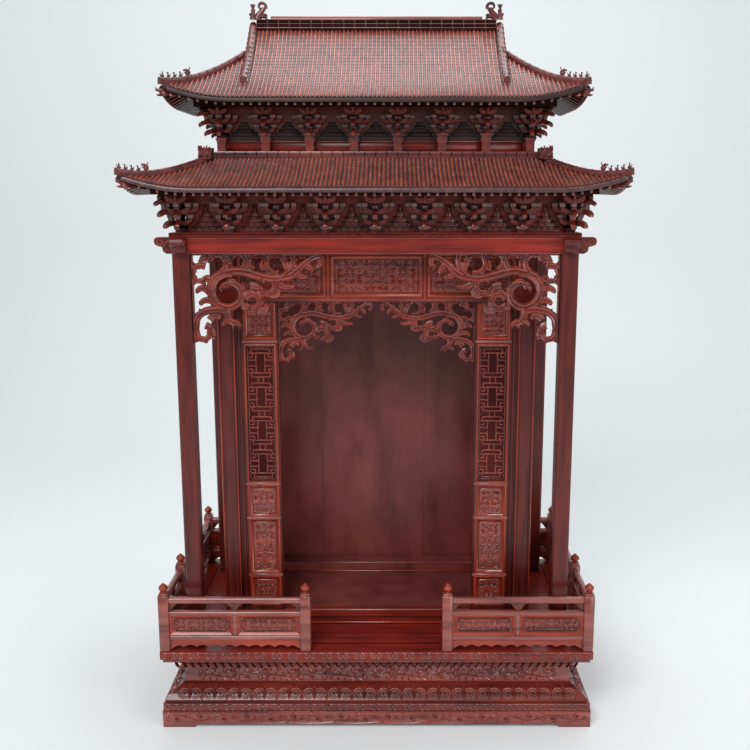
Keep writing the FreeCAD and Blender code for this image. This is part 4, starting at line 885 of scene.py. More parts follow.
roof_pieces()
rafters("lower_rafters", LOWER, edges("lower_purlin"))
rafters("upper_rafters", UPPER, edges("upper_purlin"))
hip_ridges("lower_hip_beasts", LOWER, LOWER.run, "lower_hip_ridges", 4)
hip_ridges("upper_hip_beasts", UPPER, SIDE_REACH, "upper_hip_ridges", -3)
lower_ridge_band()
corner_ornaments()
verge_ridges()
main_ridge()
ridge_end_scrolls()
gable_faces()


# Bracket sets and the boards between them


def plate(mesh, at, outline, thick, soft=0.7, tag=0):
    """A flat cut-out shape with its edges taken off; at takes across, out and up."""
    middle = [sum(point[n] for point in outline) / len(outline) for n in (0, 1)]
    rings = []
    for share, level in ((1, -thick / 2), (0, soft - thick / 2), (0, thick / 2 - soft), (1, thick / 2)):
        ring = []
        for x, z in outline:
            away = math.hypot(x - middle[0], z - middle[1]) or 1
            k = 1 - share * soft / away
            ring.append(at(middle[0] + (x - middle[0]) * k, level, middle[1] + (z - middle[1]) * k))
        rings.append(ring)
    mesh.loft(rings, tag=tag)


def bearing_block(mesh, at, x, out, z, wide, tall, tag=1):
    """A small block with a tapered foot that carries the next arm."""
    mesh.loft([[at(x + a * half, out + b * half, level) for a, b in SQUARE]
               for half, level in ((wide * 0.34, z), (wide * 0.5, z + tall * 0.45), (wide * 0.5, z + tall))],
              tag=tag)


def arm(mesh, at, reach, z, tall, out, thick=8.6, tag=0):
    """An arm with a hollowed top and rounded, upturned ends."""
    half = [(0, 0), (0.34, 0), (0.62, 0.08), (0.84, 0.3), (0.97, 0.62), (1, 0.92), (0.93, 1.12), (0.8, 1.1),
            (0.66, 0.82), (0.34, 0.64), (0, 0.62)]
    outline = [(x * reach, z + w * tall) for x, w in half]
    outline += [(-x, w) for x, w in outline[-2:0:-1]]
    plate(mesh, shifted(at, 0, out), outline, thick, 0.8, tag)


def beak(mesh, at, reach, z, tall, tag=0):
    """A tongue that runs out over the front of a set and turns down at its tip."""
    outline = [(0, 0.05), (0.55, 0), (0.8, -0.12), (1, -0.5), (1.04, -0.1), (0.98, 0.3), (0.84, 0.62),
               (0.66, 0.78), (0, 0.8)]
    rings = []
    for share, side in ((0.85, -3.8), (1, -2.6), (1, 2.6), (0.85, 3.8)):
        rings.append([at(side, x * reach * (0.97 + 0.03 * share), z + w * tall * share) for x, w in outline])
    mesh.loft(rings, tag=tag)


def corner_set(mesh, plain, zone):
    """A set that faces both ways, with tongues out to the hip between its two halves."""
    seat, rise, bearing, step = (zone[key] for key in ("seat", "arm", "bearing", "step"))
    tier = rise + bearing
    half = math.sqrt(0.5)
    out = Mesh()
    out.merge(mesh, plain)
    out.merge(mesh, lambda x, y, z: (y, x, z))
    tongue = Mesh()
    for reach, z in ((step * 1.35 + 6, seat), (step * 2.3, seat + tier), (step * 2.75, seat + 2 * tier - 1)):
        beak(tongue, plain, reach, z, rise * 0.8)
    for reach, z in ((step * 0.9, seat + rise * 0.75), (step * 1.7, seat + tier + rise * 0.75)):
        bearing_block(tongue, plain, 0, reach, z, 7.5, bearing * 0.9)
    out.merge(tongue, lambda x, y, z: ((y + x) * half, (y - x) * half, z))
    return out


def bracket_set(zone, corner=False):
    """One set over a seat, with z from the seat's foot and out from the line of the wall."""
    mesh = Mesh()
    seat, wide, rise, bearing, step = (zone[key] for key in ("seat", "wide", "arm", "bearing", "step"))
    first, second = zone["first"] / 2, zone["second"] / 2

    def plain(x, out, z):
        return (x, out, z)

    mesh.loft([[(a * half * wide, b * half * wide, z * seat) for a, b in SQUARE]
               for half, z in ((0.36, 0), (0.37, 0.2), (0.46, 0.5), (0.5, 0.62), (0.5, 0.96), (0.47, 1))],
              tag=1)
    tier = rise + bearing
    rows = [(first, seat, 0.0), (second, seat + tier, 0.0), (first, seat + tier, step),
            (first * 0.9, seat + 2 * tier - 1, step * 2 - 5)]
    for reach, z, out in rows:
        arm(mesh, plain, reach, z, rise, out)
        ends = (-reach * 0.86, 0, reach * 0.86) if out < step * 1.5 else (-reach * 0.8, reach * 0.8)
        for x in ends:
            if z + rise * 1.05 + bearing * 0.75 < zone["top"]:
                bearing_block(mesh, plain, x, out, z + rise * (0.98 if x else 0.6), 9.4, bearing * 0.95)
    beak(mesh, plain, step + 12, seat, rise)
    beak(mesh, plain, step * 2 + 3.4, seat + tier, rise)
    mesh.box((-2.4, 2.4), (0, step * 2 + 2), (seat + 2 * tier - 1, zone["top"] - 0.3), 0.6)
    return corner_set(mesh, plain, zone) if corner else mesh


LOWER_ZONE = dict(seat=12, wide=20, arm=12, bearing=8, first=42, second=66, step=18, top=66)
UPPER_ZONE = dict(seat=8, wide=21, arm=10, bearing=6, first=36, second=60, step=18, top=52)
LOWER_BAYS, UPPER_BAYS = (8, 4), (7, 3)
COLUMN_X, COLUMN_Y = 341.5, 166.5
PLATE_TOP = edges("beam_plate")[1].z
BAND_TOP = edges("ridge_band")[1].z
UPPER_X, UPPER_Y = UPPER_WALL.x - 12, UPPER_WALL.y - 12
UPPER_POST = 24.0


def set_places(line_x, line_y, front_bays, side_bays):
    """Side, distance of its line, pitch, and the places of the sets along it."""
    for side in SIDES:
        long = side in LONG_SIDES
        along, out, bays = (line_x, line_y, front_bays) if long else (line_y, line_x, side_bays)
        pitch = 2 * along / bays
        yield side, out, pitch, [(i - (bays - 2) / 2) * pitch for i in range(bays - 1)]


def upper_post(mesh, wide, deep):
    """A square post that flares like a goblet under its seat."""
    mesh.loft([[(a * wide / 2 * grow, b * deep / 2 * min(grow, 1.3), z) for a, b in SQUARE]
               for grow, z in ((1, -UPPER_POST), (1, -9), (1.1, -5), (1.32, -1.6), (1.36, 0))], tag=2)


def bracket_rows(storey, zone, line_x, line_y, level, bays, post):
    """The sets along each side of a storey, and the sets on its corners."""
    rows, corners = Mesh(), Mesh()
    plain = bracket_set(zone)
    angled = bracket_set(zone, corner=True)
    if post:
        upper_post(plain, 15, 12)
        upper_post(angled, 15, 15)
    for side, out, _, places in set_places(line_x, line_y, *bays):
        for along in places:
            rows.merge(plain, shifted(board_at(face(side, out, along)), 0, 0, level))
    for sx, sy in QUARTERS:
        corners.merge(angled, lambda x, y, z: (sx * (line_x + x), sy * (line_y + y), level + z))
    materials = ["bracket", "seat", "carved"]
    rows.make(storey + "_bracket_sets", materials, "bracket", [storey + "_brackets"], 40)
    corners.make(storey + "_corner_sets", materials, "bracket", [storey + "_corner_brackets"], 40)


def lower_boards():
    """Between the lower sets, a carved lotus form rising in tiers from a wide foot."""
    tiers = ((27, 1, 9, 2.2), (21, 8, 17, 3.0), (14, 16, 26, 3.4), (8, 25, 36, 3.2), (4.6, 35, 46, 2.6))
    mesh = Mesh()
    foot = PLATE_TOP
    for side, out, pitch, places in set_places(COLUMN_X, COLUMN_Y, *LOWER_BAYS):
        for i in range(len(places) + 1):
            at = face(side, out - 10, places[0] - pitch / 2 + pitch * i)
            for half, low, high, rise in tiers:
                stroke(mesh, at, [(0, foot + low), (0, foot + (low + high) / 2), (0, foot + high)],
                       half * 2, rise, 0, DOME, ends=(0.95, 0.7))
            for level, count in ((7, 4), (15, 3), (24, 2), (33, 1)):
                for k in range(count):
                    u = (k - (count - 1) / 2) * 12
                    for flip in (-1, 1):
                        line = arc((u + flip * 2.6, foot + level), 3.6, 90 - flip * 80, flip * 260, 0.5, 7)
                        stroke(mesh, at, line, 2.4, 5.0, 1, ends=(0.7, 0.5), base=1.5)
            bloom(mesh, at, 0, foot + 43, 6.5, 4.6, 6, 1)
            for flip in (-1, 1):
                for radius, x, z in ((7, 26, 33), (5, 33, 19)):
                    stroke(mesh, at, arc((flip * x, foot + z), radius, 90, flip * 330, 0.3, 9), 3.2, 2.4)
    mesh.make("lower_board_carving", ["carved", "lip"], "panel", (), 50)


def upper_boards():
    """Between the upper posts, a plain band, a bright ledge and stepped boards above it."""
    boards = ((27, 0, 8), (22, 8, 15), (16, 15, 21), (10, 21, 27), (6, 27, 33))
    ledge = BAND_TOP + 19.6
    mesh = Mesh()
    for side, out, pitch, places in set_places(UPPER_X, UPPER_Y, *UPPER_BAYS):
        half = places[-1] + pitch - 7
        at = face(side, out - 10.5)
        place = board_at(at)
        mesh.box((-half, half), (0, 3.2), (BAND_TOP, BAND_TOP + 17), 0.5, 0, place)
        mesh.box((-half, half), (0, 6.0), (BAND_TOP + 17, ledge), 0.8, 1, place)
        for i in range(len(places) + 1):
            middle = places[0] - pitch / 2 + pitch * i
            for k, (wide, low, high) in enumerate(boards):
                x = (middle - wide, middle + wide)
                mesh.box(x, (0, 4.2 - 0.5 * k), (ledge + low, ledge + high), 0.7, 2, place)
                for n in range(round(wide / 2.4)):
                    u = middle - wide + (n + 0.5) * 4.8
                    leaf(mesh, at, u, BAND_TOP + 19.8 + low, (high - low) * 0.85, 3.4, 90,
                         5.2 - 0.5 * k, 2, 0)
    mesh.make("upper_board_steps", ["beam", "lip", "stone"], "panel", (), 45)


# Beams and columns


def beam_mouldings():
    """Thin beads along the beams and their cap board, and grooves where the frame is joined."""
    mesh = Mesh()
    low, high = edges("long_beams")
    cap_low, cap_high = edges("beam_plate")
    for side in SIDES:
        half, out = side_size(side, "long_beams")
        place = board_at(face(side, out))
        mesh.box((-half, half), (-1, 0.9), (high.z - 2.2, high.z), 0.4, 0, place)
        mesh.box((-half + 32, half - 32), (-1, 0.8), (low.z, low.z + 1.8), 0.4, 0, place)
        half, out = side_size(side, "beam_plate")
        place = board_at(face(side, out))
        mesh.box((-half, half), (-2, 0.0), (cap_low.z + 0.2, cap_low.z + 2.6), 0.5, 1, place)
        mesh.box((-half, half), (-2, 0.0), (cap_low.z + 3.2, cap_high.z - 0.4), 0.6, 2, place)
    mesh.make("beam_beads", ["lip", "shadow", "beam"], "frame", (), 40)


def nose_carving():
    """Scrolled lines on both cheeks of each beam end."""
    lines = ((arc((20, 21), 6.5, 60, -330, 0.25, 10), 2.6, 1.2),
             (bend(((2, 24), (15, 8)), ((8, 24), (14, 14))), 2.6, 1.2),
             (bend(((3, 4), (14, 3)), ((6, 9), (12, 8))), 2.2, 1.0))
    low = edges("long_beams")[0]
    mesh = Mesh()
    for side in SIDES:
        line = COLUMN_X if side in LONG_SIDES else COLUMN_Y
        out = side_size(side, "long_beams")[1]
        for sign, cheek in QUARTERS:
            def at(u, w, h, side=side, line=line, out=out, sign=sign, cheek=cheek):
                return turned((sign * line + cheek * (11 + h), -(out + u), low.z + w), SIDES[side])

            for points, wide, rise in lines:
                stroke(mesh, at, points, wide, rise)
    mesh.make("beam_nose_carving", "lip", "frame", (), 45)


# Niche body

FRONT = -edges("niche_sill")[0].y
SILL_TOP = edges("niche_sill")[1].z
OPENING_TOP = edges("body_header")[0].z
OPENING_HALF = edges("leaf_right")[0].x
PANEL_BEVEL = ((-0.5, -1), (-0.5, 1.2), (1.2, 1.9), (2.6, 1.4), (5.2, -2.4), (6.2, -2.6))
BEAD = ((0, -4), (0, -2.6), (0.7, -1.9), (1.4, -2.6), (1.4, -4))


def carved_panel(mesh, at, u, w, pitch, bevel=PANEL_BEVEL, cant=4.0):
    """A sunk panel: a bevel in painted highlight, a fine canted bead and dense carving inside it."""
    sunk = 2.2
    border(mesh, at, u, w, bevel, 1)
    inset = bevel[-1][0] + 1.2
    u, w = shrink(u, inset), shrink(w, inset)
    # The bead is material 2, the paler rail wood in the header and leaves: painted highlight.
    border(mesh, at, u, w, BEAD, 2, cant)
    mesh.box(shrink(u, 0.6), (-4.2, -sunk), shrink(w, 0.6), 0.2, 0, board_at(at))

    def field(a, b, h):
        return at(a, b, h - sunk)

    # The curls take material 2 as well: painted highlight on the raised carving.
    scrollwork(mesh, field, shrink(u, 2.2), shrink(w, 2.2), pitch, 2.0, 0, 2)


def header_panels():
    """Three carved panels over the opening, the beads under them and the fillets between them."""
    mesh = Mesh()
    at = face("front", FRONT)
    place = board_at(at)
    high = edges("body_header")[1].z
    w = (OPENING_TOP + 9, high - 9)
    half = edges("body_header")[1].x
    carved_panel(mesh, at, (-83, 83), w, 12)
    for flip in (-1, 1):
        carved_panel(mesh, at, sorted((flip * 95, flip * (half - 41))), w, 12)
    for low, top, out in ((0.3, 2.2, 1.2), (3.2, 4.8, 0.8)):
        mesh.box((-half + 33, half - 33), (-1, out), (OPENING_TOP + low, OPENING_TOP + top), 0.4, 3, place)
    for x in (-89, 89):
        mesh.box((x - 2.5, x + 2.5), (-1, 1.4), (OPENING_TOP + 5, high - 3), 0.9, 1, place)
    mesh.make("header_carving", ["relief", "edge", "rail", "lip"], "frame", (), 40)


def jamb_mouldings():
    """Upright beads and hollows on the posts beside the leaves."""
    mesh = Mesh()
    at = face("front", FRONT)
    place = board_at(at)
    half = edges("front_posts")[1].x
    top = edges("front_posts")[1].z
    for flip in (-1, 1):
        def strip(a, b, out, z0, z1, tag, back=-1.0):
            x = sorted((flip * a, flip * b))
            mesh.box(x, (back, out), (z0, z1), min(0.9, (b - a) / 3), tag, place)

        strip(half - 31.6, half - 28.8, 1.6, SILL_TOP, top, 0)
        strip(half - 27.4, half - 26.0, 0.8, SILL_TOP, top, 1)
        strip(half - 6.4, half - 4.6, 0.8, SILL_TOP, top, 1)
        strip(half - 3.2, half - 0.4, 1.6, SILL_TOP, edges("body_header")[1].z - 2, 0)
        strip(OPENING_HALF + 69.4, OPENING_HALF + 71.4, -2.6, SILL_TOP, top, 1, -5.5)
        strip(OPENING_HALF + 76, OPENING_HALF + 78, -2.6, SILL_TOP, top, 1, -5.5)
        strip(half - 32, half, 2.2, SILL_TOP - 29 + 0.3, SILL_TOP - 24, 2)
    mesh.make("jamb_beads", ["edge_up", "post", "lip"], "frame", (), 40)


LEAF_PANELS = ((194, 247, 10.5), (260, 365, 11.5), (374, 432, 10.5), (722, 780, 9.5))
LATTICE = (444.0, 704.0)
STILE = 9.0
LEAF_BEVEL = ((-4.5, -0.5), (-4.5, 1.0), (-3.2, 1.8), (-1.6, 1.6), (2.6, -3.4), (3.4, -3.6))


def leaves():
    """The framed leaves beside the opening: rails with bevels in painted highlight and carved panels."""
    at = face("front", FRONT)
    place = board_at(at)
    for name, flip in (("left", -1), ("right", 1)):
        def across(inner, outer, flip=flip):
            return sorted((flip * inner, flip * outer))

        mesh = Mesh()
        u = across(OPENING_HALF + STILE, OPENING_HALF + 69 - STILE)
        for low, high, pitch in LEAF_PANELS:
            carved_panel(mesh, at, u, (low, high), pitch, LEAF_BEVEL, 3.0)
        border(mesh, at, u, LATTICE, ((-4.5, -0.5), (-4.5, 1.0), (-3.2, 1.8), (-1.4, 1.4), (0.2, -6)), 1)
        rail = across(OPENING_HALF + 1, OPENING_HALF + 68)
        for level in (253.5, 369.5, 438, 713):
            mesh.box(rail, (-1, 2.4), (level - 2.6, level + 2.6), 1.2, 2, place)
        for inner in (OPENING_HALF + 0.2, OPENING_HALF + 66.6):
            mesh.box(across(inner, inner + 2.2), (-1, 1.0), (SILL_TOP + 0.2, OPENING_TOP), 0.6, 3, place)
        mesh.make(f"leaf_{name}_carving", ["relief", "edge_up", "rail", "post"], "frame", (), 40)


def lattice_bars():
    """Pierced lattice: a tall window in each repeat, stepped ties to the stiles and small squares between."""
    mesh = Mesh()
    repeats, bar = 4, 2.6
    pitch = (LATTICE[1] - LATTICE[0]) / repeats
    middle_x = OPENING_HALF + 34.5
    back = 4.0
    for flip in (-1, 1):
        at = face("front", FRONT, flip * middle_x)
        place = board_at(at)

        def run(x0, x1, z0, z1, out):
            x0, x1 = sorted((x0, x1))
            z0, z1 = sorted((z0, z1))
            k = bar / 2
            mesh.box((x0 - k, x1 + k), (-9.6 - out, -back - out), (z0 - k, z1 + k), 0.5, 0, place)

        for i in range(repeats):
            centre = LATTICE[0] + pitch * (i + 0.5)
            for sz in (-1, 1):
                run(-15, 15, centre + sz * 19, centre + sz * 19, 0)
                run(-17.5, 17.5, centre + sz * 26.6, centre + sz * 26.6, 0)
                for sx in (-1, 1):
                    run(sx * 8.4, sx * 8.4, centre, centre + sz * 19, 0.15)
                    run(sx * 8.4, sx * 24, centre + sz * 5.5, centre + sz * 5.5, 0)
                    run(sx * 15, sx * 15, centre + sz * 11.5, centre + sz * 19, 0.15)
                    run(sx * 15, sx * 20.5, centre + sz * 11.5, centre + sz * 11.5, 0)
                    run(sx * 17.5, sx * 24, centre + sz * 18.5, centre + sz * 18.5, 0.3)
                    run(sx * 17.5, sx * 17.5, centre + sz * 18.5, centre + sz * 26.6, 0.15)
                    run(sx * 5, sx * 5, centre + sz * 26.6, centre + sz * 31.8, 0.15)
        for sx in (-1, 1):
            run(sx * 24, sx * 24, LATTICE[0] + 1.5, LATTICE[1] - 1.5, 0.3)
        for z in (LATTICE[0] + 1.5, LATTICE[1] - 1.5):
            run(-24, 24, z, z, 0.3)
    mesh.make("lattice_bars", "carved", "openwork", ["leaf_lattices"], 40)


def niche_lines():
    """Board joints on the back of the niche, and arrises on the sill, floor and step in brighter wood as
    painted highlight.
    """
    mesh = Mesh()
    low, high = edges("back_step")
    back = edges("body_back")[0].y
    top = edges("ceiling_board")[0].z
    step, opening, front = (low.x, high.x), (-OPENING_HALF, OPENING_HALF), -FRONT
    for x in (-122, 96):
        mesh.box((x - 0.3, x + 0.3), (back - 0.5, back + 0.2), (high.z, top), 0, 3)
    mesh.box(step, (low.y - 1.2, low.y + 1), (high.z - 2.4, high.z + 0.5), 0.7, 1)
    mesh.box(step, (low.y - 1.6, low.y + 0.4), (SILL_TOP, SILL_TOP + 2.6), 0.8, 2)
    mesh.box(opening, (front - 1.4, front + 3), (SILL_TOP - 2.0, SILL_TOP + 0.5), 0.8, 1)
    mesh.box(opening, (front - 2.0, front + 1), (SILL_TOP - 28.8, SILL_TOP - 25), 0.9, 2)
    mesh.box(opening, (front - 0.9, front + 1), (SILL_TOP - 16, SILL_TOP - 14.8), 0.3, 0)
    mesh.make("niche_lines", ["shadow", "lip", "edge", "post"], "panel", (), 40)


# Spandrels


def scroll_points(centre, radius, start, sweep, wide, tighten=0.5):
    """A curl of the openwork with its width at each point."""
    steps = max(6, round(abs(sweep) / 26))
    line = arc(centre, radius, start, sweep, tighten, steps)
    return line, [wide * (1 - 0.45 * i / steps) for i in range(steps + 1)]


def leaf_points(ends, handles, wide, steps=9):
    """A bend of the openwork with its width at each point."""
    line = bend(ends, handles, steps)
    return line, [wide[0] + (wide[1] - wide[0]) * i / steps for i in range(steps + 1)]


SCROLLS = [
    scroll_points((66, -67), 34, 80, 430, 14, 0.22),
    leaf_points(((62, -34), (166, -41)), ((98, -20), (128, -54)), (13, 11)),
    leaf_points(((160, -42), (230, -4)), ((192, -42), (196, -7)), (12, 8)),
    leaf_points(((164, -40), (181, 0)), ((178, -34), (184, -18)), (9, 7)),
    scroll_points((150, -18), 17, 290, -250, 9, 0.9),
    scroll_points((116, -14), 15, 250, -240, 8, 0.8),
    scroll_points((83, -13), 15, 300, 230, 8, 0.8),
    scroll_points((46, -17), 17, 300, 240, 9, 0.8),
    scroll_points((17, -37), 16, 60, 260, 9, 0.7),
    leaf_points(((62, -101), (7, -138)), ((24, -94), (-2, -108)), (12, 9)),
    scroll_points((19, -141), 14, 160, 230, 9, 0.7),
    scroll_points((134, -58), 16, 130, -270, 11, 0.5),
    scroll_points((107, -86), 15, 150, -270, 11, 0.5),
    leaf_points(((62, -98), (80, -124)), ((58, -112), (66, -124)), (11, 7)),
]
LEAVES = [leaf_points(*row) for row in (
    (((226, -6), (221, -22)), ((233, -14), (230, -24)), (7, 5), 5),
    (((186, -34), (206, -40)), ((192, -40), (200, -44)), (7, 4), 5),
    (((150, -50), (184, -56)), ((160, -60), (176, -62)), (8, 4), 6),
    (((30, -66), (8, -70)), ((22, -58), (12, -60)), (9, 5), 6),
    (((36, -84), (15, -92)), ((26, -80), (14, -84)), (8, 5), 6),
    (((140, -70), (152, -60)), ((148, -78), (156, -70)), (9, 5), 5),
    (((118, -98), (130, -88)), ((126, -106), (134, -98)), (9, 5), 5),
    (((30, -118), (50, -116)), ((36, -108), (46, -108)), (8, 5), 6),
    (((84, -30), (96, -12)), ((94, -28), (100, -20)), (7, 4), 5),
    (((20, -20), (34, -6)), ((18, -8), (26, -2)), (8, 5), 5),
    (((60, -8), (70, -24)), ((66, -4), (74, -14)), (7, 4), 5),
    (((128, -30), (136, -8)), ((124, -20), (128, -8)), (7, 4), 5),
    (((104, -58), (126, -76)), ((116, -56), (126, -64)), (9, 5), 5),
    (((88, -92), (104, -104)), ((98, -92), (106, -98)), (8, 5), 5),
    (((60, -100), (52, -128)), ((66, -110), (60, -122)), (8, 5), 5),
    (((22, -128), (34, -150)), ((32, -130), (38, -142)), (8, 5), 5),
    (((40, -52), (22, -50)), ((36, -44), (26, -42)), (8, 5), 5),
    (((172, -28), (160, -8)), ((168, -18), (164, -12)), (8, 5), 5),
    (((204, -22), (212, -36)), ((212, -24), (214, -30)), (7, 4), 5),
)]
MAIN_SCROLLS = (0, 1, 2, 9)
FIELD_WIDE, FIELD_DEEP = 232, 160
RIDGED = ((-1, 0.35), (-0.62, 0.72), (-0.3, 0.66), (0, 1), (0.3, 0.66), (0.62, 0.72), (1, 0.35), (1, -0.35),
          (0.62, -0.72), (0.3, -0.66), (0, -1), (-0.3, -0.66), (-0.62, -0.72), (-1, -0.35))


def scroll_bracket(mesh, at, length, drop, thick):
    """Rounded openwork from a field 232 wide and 160 deep; at takes across, out and up."""
    wide, high = length / FIELD_WIDE, drop / FIELD_DEEP

    def strand(line, widths, depth, grow=1.0):
        rings = []
        last = len(line) - 1
        for i, x, z, across_x, across_z in stations(line):
            half = widths[i] / 2 * grow * (0.55 if i == last else 1)
            ring = []
            for a, b in RIDGED:
                px, pz = (x + across_x * half * a) * wide, (z + across_z * half * a) * high
                ring.append(at(min(max(px, 0), length), b * depth, min(max(pz, -drop), 0)))
            rings.append(ring)
        mesh.loft(rings)

    for index, (line, widths) in enumerate(SCROLLS):
        main = index in MAIN_SCROLLS
        strand(line, widths, thick / 2 * (1.0 if main else 0.84), 1.3 if main else 1.35)
        for i in range(1, len(line) - 1, 2):
            (x0, z0), (x1, z1) = line[i - 1], line[i + 1]
            way = math.atan2(z1 - z0, x1 - x0)
            turns = (0.9,) if not main else (-0.9,) if index == 0 else (0.9, -0.9)
            for turn in turns:
                tip = [(line[i][0] + k * 4.4 * math.cos(way + turn - 0.35 * k * turn),
                        line[i][1] + k * 4.4 * math.sin(way + turn - 0.35 * k * turn)) for k in range(5)]
                strand(tip, [9, 10, 8.5, 6.5, 4], thick / 2 * 0.7)
    for line, widths in LEAVES:
        strand(line, widths, thick / 2 * 0.66, 1.7)
    half = thick * 0.32
    mesh.box((0, length), (-half, half), (-3.6 * high, 0), 1.0, 0, at)
    mesh.box((0, 3.6 * wide), (-half, half), (-drop, 0), 1.0, 0, at)


def scroll_pair(name, node, edge_x, out, top, length, drop, thick):
    """A bracket on each side of an opening, hung from its beam."""
    mesh = Mesh()
    for flip in (-1, 1):
        def at(x, y, z, flip=flip):
            return (flip * (edge_x - x), -(out + y), top + z)

        scroll_bracket(mesh, at, length, drop, thick)
    mesh.make(name, "gloss", "openwork", [node], 34)


def spandrels():
    """The large brackets between the front columns and the small ones in the niche opening."""
    beam = edges("long_beams")[0].z
    scroll_pair("front_scroll_brackets", "front_spandrels", COLUMN_X - 15, COLUMN_Y, beam,
                FIELD_WIDE, FIELD_DEEP, 14)
    scroll_pair("inner_scroll_brackets", "inner_spandrels", OPENING_HALF, FRONT - 7, OPENING_TOP,
                OPENING_HALF - 7, 115, 10)


# Railing

DECK = edges("deck")[1].z
POST = 19.0
POST_TOP = DECK + 113
PLINTH_X, PLINTH_Y = 400, 225
GATE_WIDTH = 242
EDGE_X, EDGE_Y = PLINTH_X - POST / 2, PLINTH_Y - POST / 2
GATE_X = (GATE_WIDTH + POST) / 2
POST_PLACES = [(sx * EDGE_X, y) for sx in (-1, 1) for y in (-EDGE_Y, -EDGE_Y / 3, EDGE_Y / 3, EDGE_Y)]
POST_PLACES += [(sx * GATE_X, y) for sx in (-1, 1) for y in (-EDGE_Y, EDGE_Y)]


def railing_posts():
    """Square posts with a small cap and a turned bud."""
    bud = ((5.2, 0), (6.2, 1.0), (5.0, 2.2), (4.2, 3.2), (6.4, 4.4), (8.2, 6.4), (8.7, 8.8), (8.1, 11.2),
           (6.2, 13.2), (4.8, 14.0), (4.8, 14.6), (3.4, 15.8), (1.8, 17.2), (0.5, 18.4))
    half = POST / 2
    mesh = Mesh()
    for x, y in POST_PLACES:
        square = ((x - half, x + half), (y - half, y + half))
        mesh.box(*square, (DECK, POST_TOP - 4), 1.6, 0)
        mesh.box(shrink(square[0], 1.4), shrink(square[1], 1.4), (POST_TOP - 4.4, POST_TOP), 1.2, 0)
        mesh.loft([[(x + wide * math.cos(a), y + wide * math.sin(a), POST_TOP + z) for a in around(16)]
                   for wide, z in bud], tag=1)
    mesh.make("railing_bud_posts", ["lip", "edge_up"], "frame", ["railing_posts"], 50)


def round_rail(mesh, place, length, low, high, half, tag=0):
    """A level rail with rounded upper edges."""
    tall = high - low
    section = [(-half, low + 0.8), (-half + 0.8, low), (half - 0.8, low), (half, low + 0.8),
               (half, low + tall * 0.55), (half * 0.72, high - tall * 0.12), (half * 0.3, high),
               (-half * 0.3, high), (-half * 0.72, high - tall * 0.12), (-half, low + tall * 0.55)]
    mesh.loft([[place(x, y, z) for y, z in section] for x in (0, length)], tag=tag)


def cloud(mesh, place, x, low, high, left, right, tag=0):
    """A cloud bracket between two rails, with a rosette on its faces where it is whole."""
    wide, tall = 35.0, high - low
    half = [(0.18, 0), (0.24, 0.18), (0.38, 0.3), (0.44, 0.52), (0.62, 0.62), (0.72, 0.84), (0.95, 0.9),
            (1, 1)]
    outline = [(x, low), (x, high)]
    if right:
        outline = [(x + wide * 0.5 * a, low + tall * b) for a, b in half]
    if left:
        outline += [(x - wide * 0.5 * a, low + tall * b) for a, b in reversed(half)]
    else:
        outline += [(x, high), (x, low)]
    plate(mesh, place, outline, 6, 0.6, tag)
    if left and right:
        for out in (-1, 1):
            def at(u, w, h, out=out):
                return place(x + u, out * (3 + h), w)

            bloom(mesh, at, 0, low + tall * 0.58, 5.2, 1.6, 6, tag)


def apron(mesh, place, length, humps, low, high):
    """The scalloped board under the lower rail, cut deeper towards its ends."""
    count = humps * 6
    rings = []
    for k in range(count + 1):
        x = length * k / count
        edge = low + 1.4 + 4.6 * abs(math.sin(math.pi * k / 6))
        edge -= 6.0 * max(0, 1 - min(x, length - x) / 14) ** 0.6
        foot = max(edge, low - 4.8)
        rings.append([place(x, y, z) for y, z in ((-3, foot), (3, foot), (3, high), (-3, high))])
    mesh.loft(rings, tag=1)


def rail_section(mesh, origin, turn, length, panels):
    """One railing section from x = 0 to its length, with y through it."""
    def place(x, y, z):
        u, v, level = turned((x, y, z), turn)
        return (origin[0] + u, origin[1] + v, level)

    rails = ((22, 30), (69.6, 77.6), (93.5, 104))
    low_rail, mid_rail, top_rail = ((DECK + low, DECK + high) for low, high in rails)
    for low, high in (low_rail, mid_rail, top_rail):
        round_rail(mesh, place, length, low, high, 6)
    step = length / panels
    w = (low_rail[1], mid_rail[0])
    mesh.box((0, length), (-1.2, 1.2), (w[0] - 1, w[1] + 1), 0, 3, place)
    for i in range(panels):
        u = (i * step + (4.5 if i else 0), (i + 1) * step - (4.5 if i < panels - 1 else 0))
        for out in (-1, 1):
            def at(a, b, h, out=out):
                return place(a, out * (1.2 + h), b)

            border(mesh, at, u, w, ((0, 0), (0, 4.2), (1.6, 4.4), (5.4, 1.2), (6.2, 0.2)), 1)
            inner_u, inner_w = shrink(u, 8), shrink(w, 7.4)
            border(mesh, at, inner_u, inner_w, ((0, 0), (0.2, 1.5), (1.0, 1.5), (1.3, 0)), 2, 4)
            scrollwork(mesh, at, shrink(inner_u, 3), shrink(inner_w, 1.6), 9.5, 2.4)
    for i in range(1, panels):
        mesh.box((i * step - 4.5, i * step + 4.5), (-6, 6), w, 1.4, 0, place)
    apron(mesh, place, length, panels * max(3, round(step / 26)), DECK + 5, DECK + 22)
    for x, left, right in ((0, 0, 1), (length / 2, 1, 1), (length, 1, 0)):
        cloud(mesh, place, x, mid_rail[1], top_rail[0], left, right, 4)


def railings():
    """The sections between the posts: two in front beside the gate, three on each other side."""
    long, short = EDGE_X - GATE_X - POST, EDGE_Y / 3 * 2 - POST
    half = POST / 2
    left, middle, right = -EDGE_X + half, -GATE_X + half, GATE_X + half
    sections = {
        "front": [((x, -EDGE_Y), 0, long, 2) for x in (left, right)],
        "sides": [((x, -EDGE_Y + EDGE_Y / 3 * 2 * i + half), 90, short, 1)
                  for x in (-EDGE_X, EDGE_X) for i in range(3)],
        "rear": [((x, EDGE_Y), 0, length, 2)
                 for x, length in ((left, long), (middle, GATE_X * 2 - POST), (right, long))],
    }
    for name, rows in sections.items():
        mesh = Mesh()
        for row in rows:
            rail_section(mesh, *row)
        mesh.make(f"railing_{name}_carved", ["rail", "edge", "post", "relief", "bracket"], "openwork",
                  [f"railing_{name}"], 40)


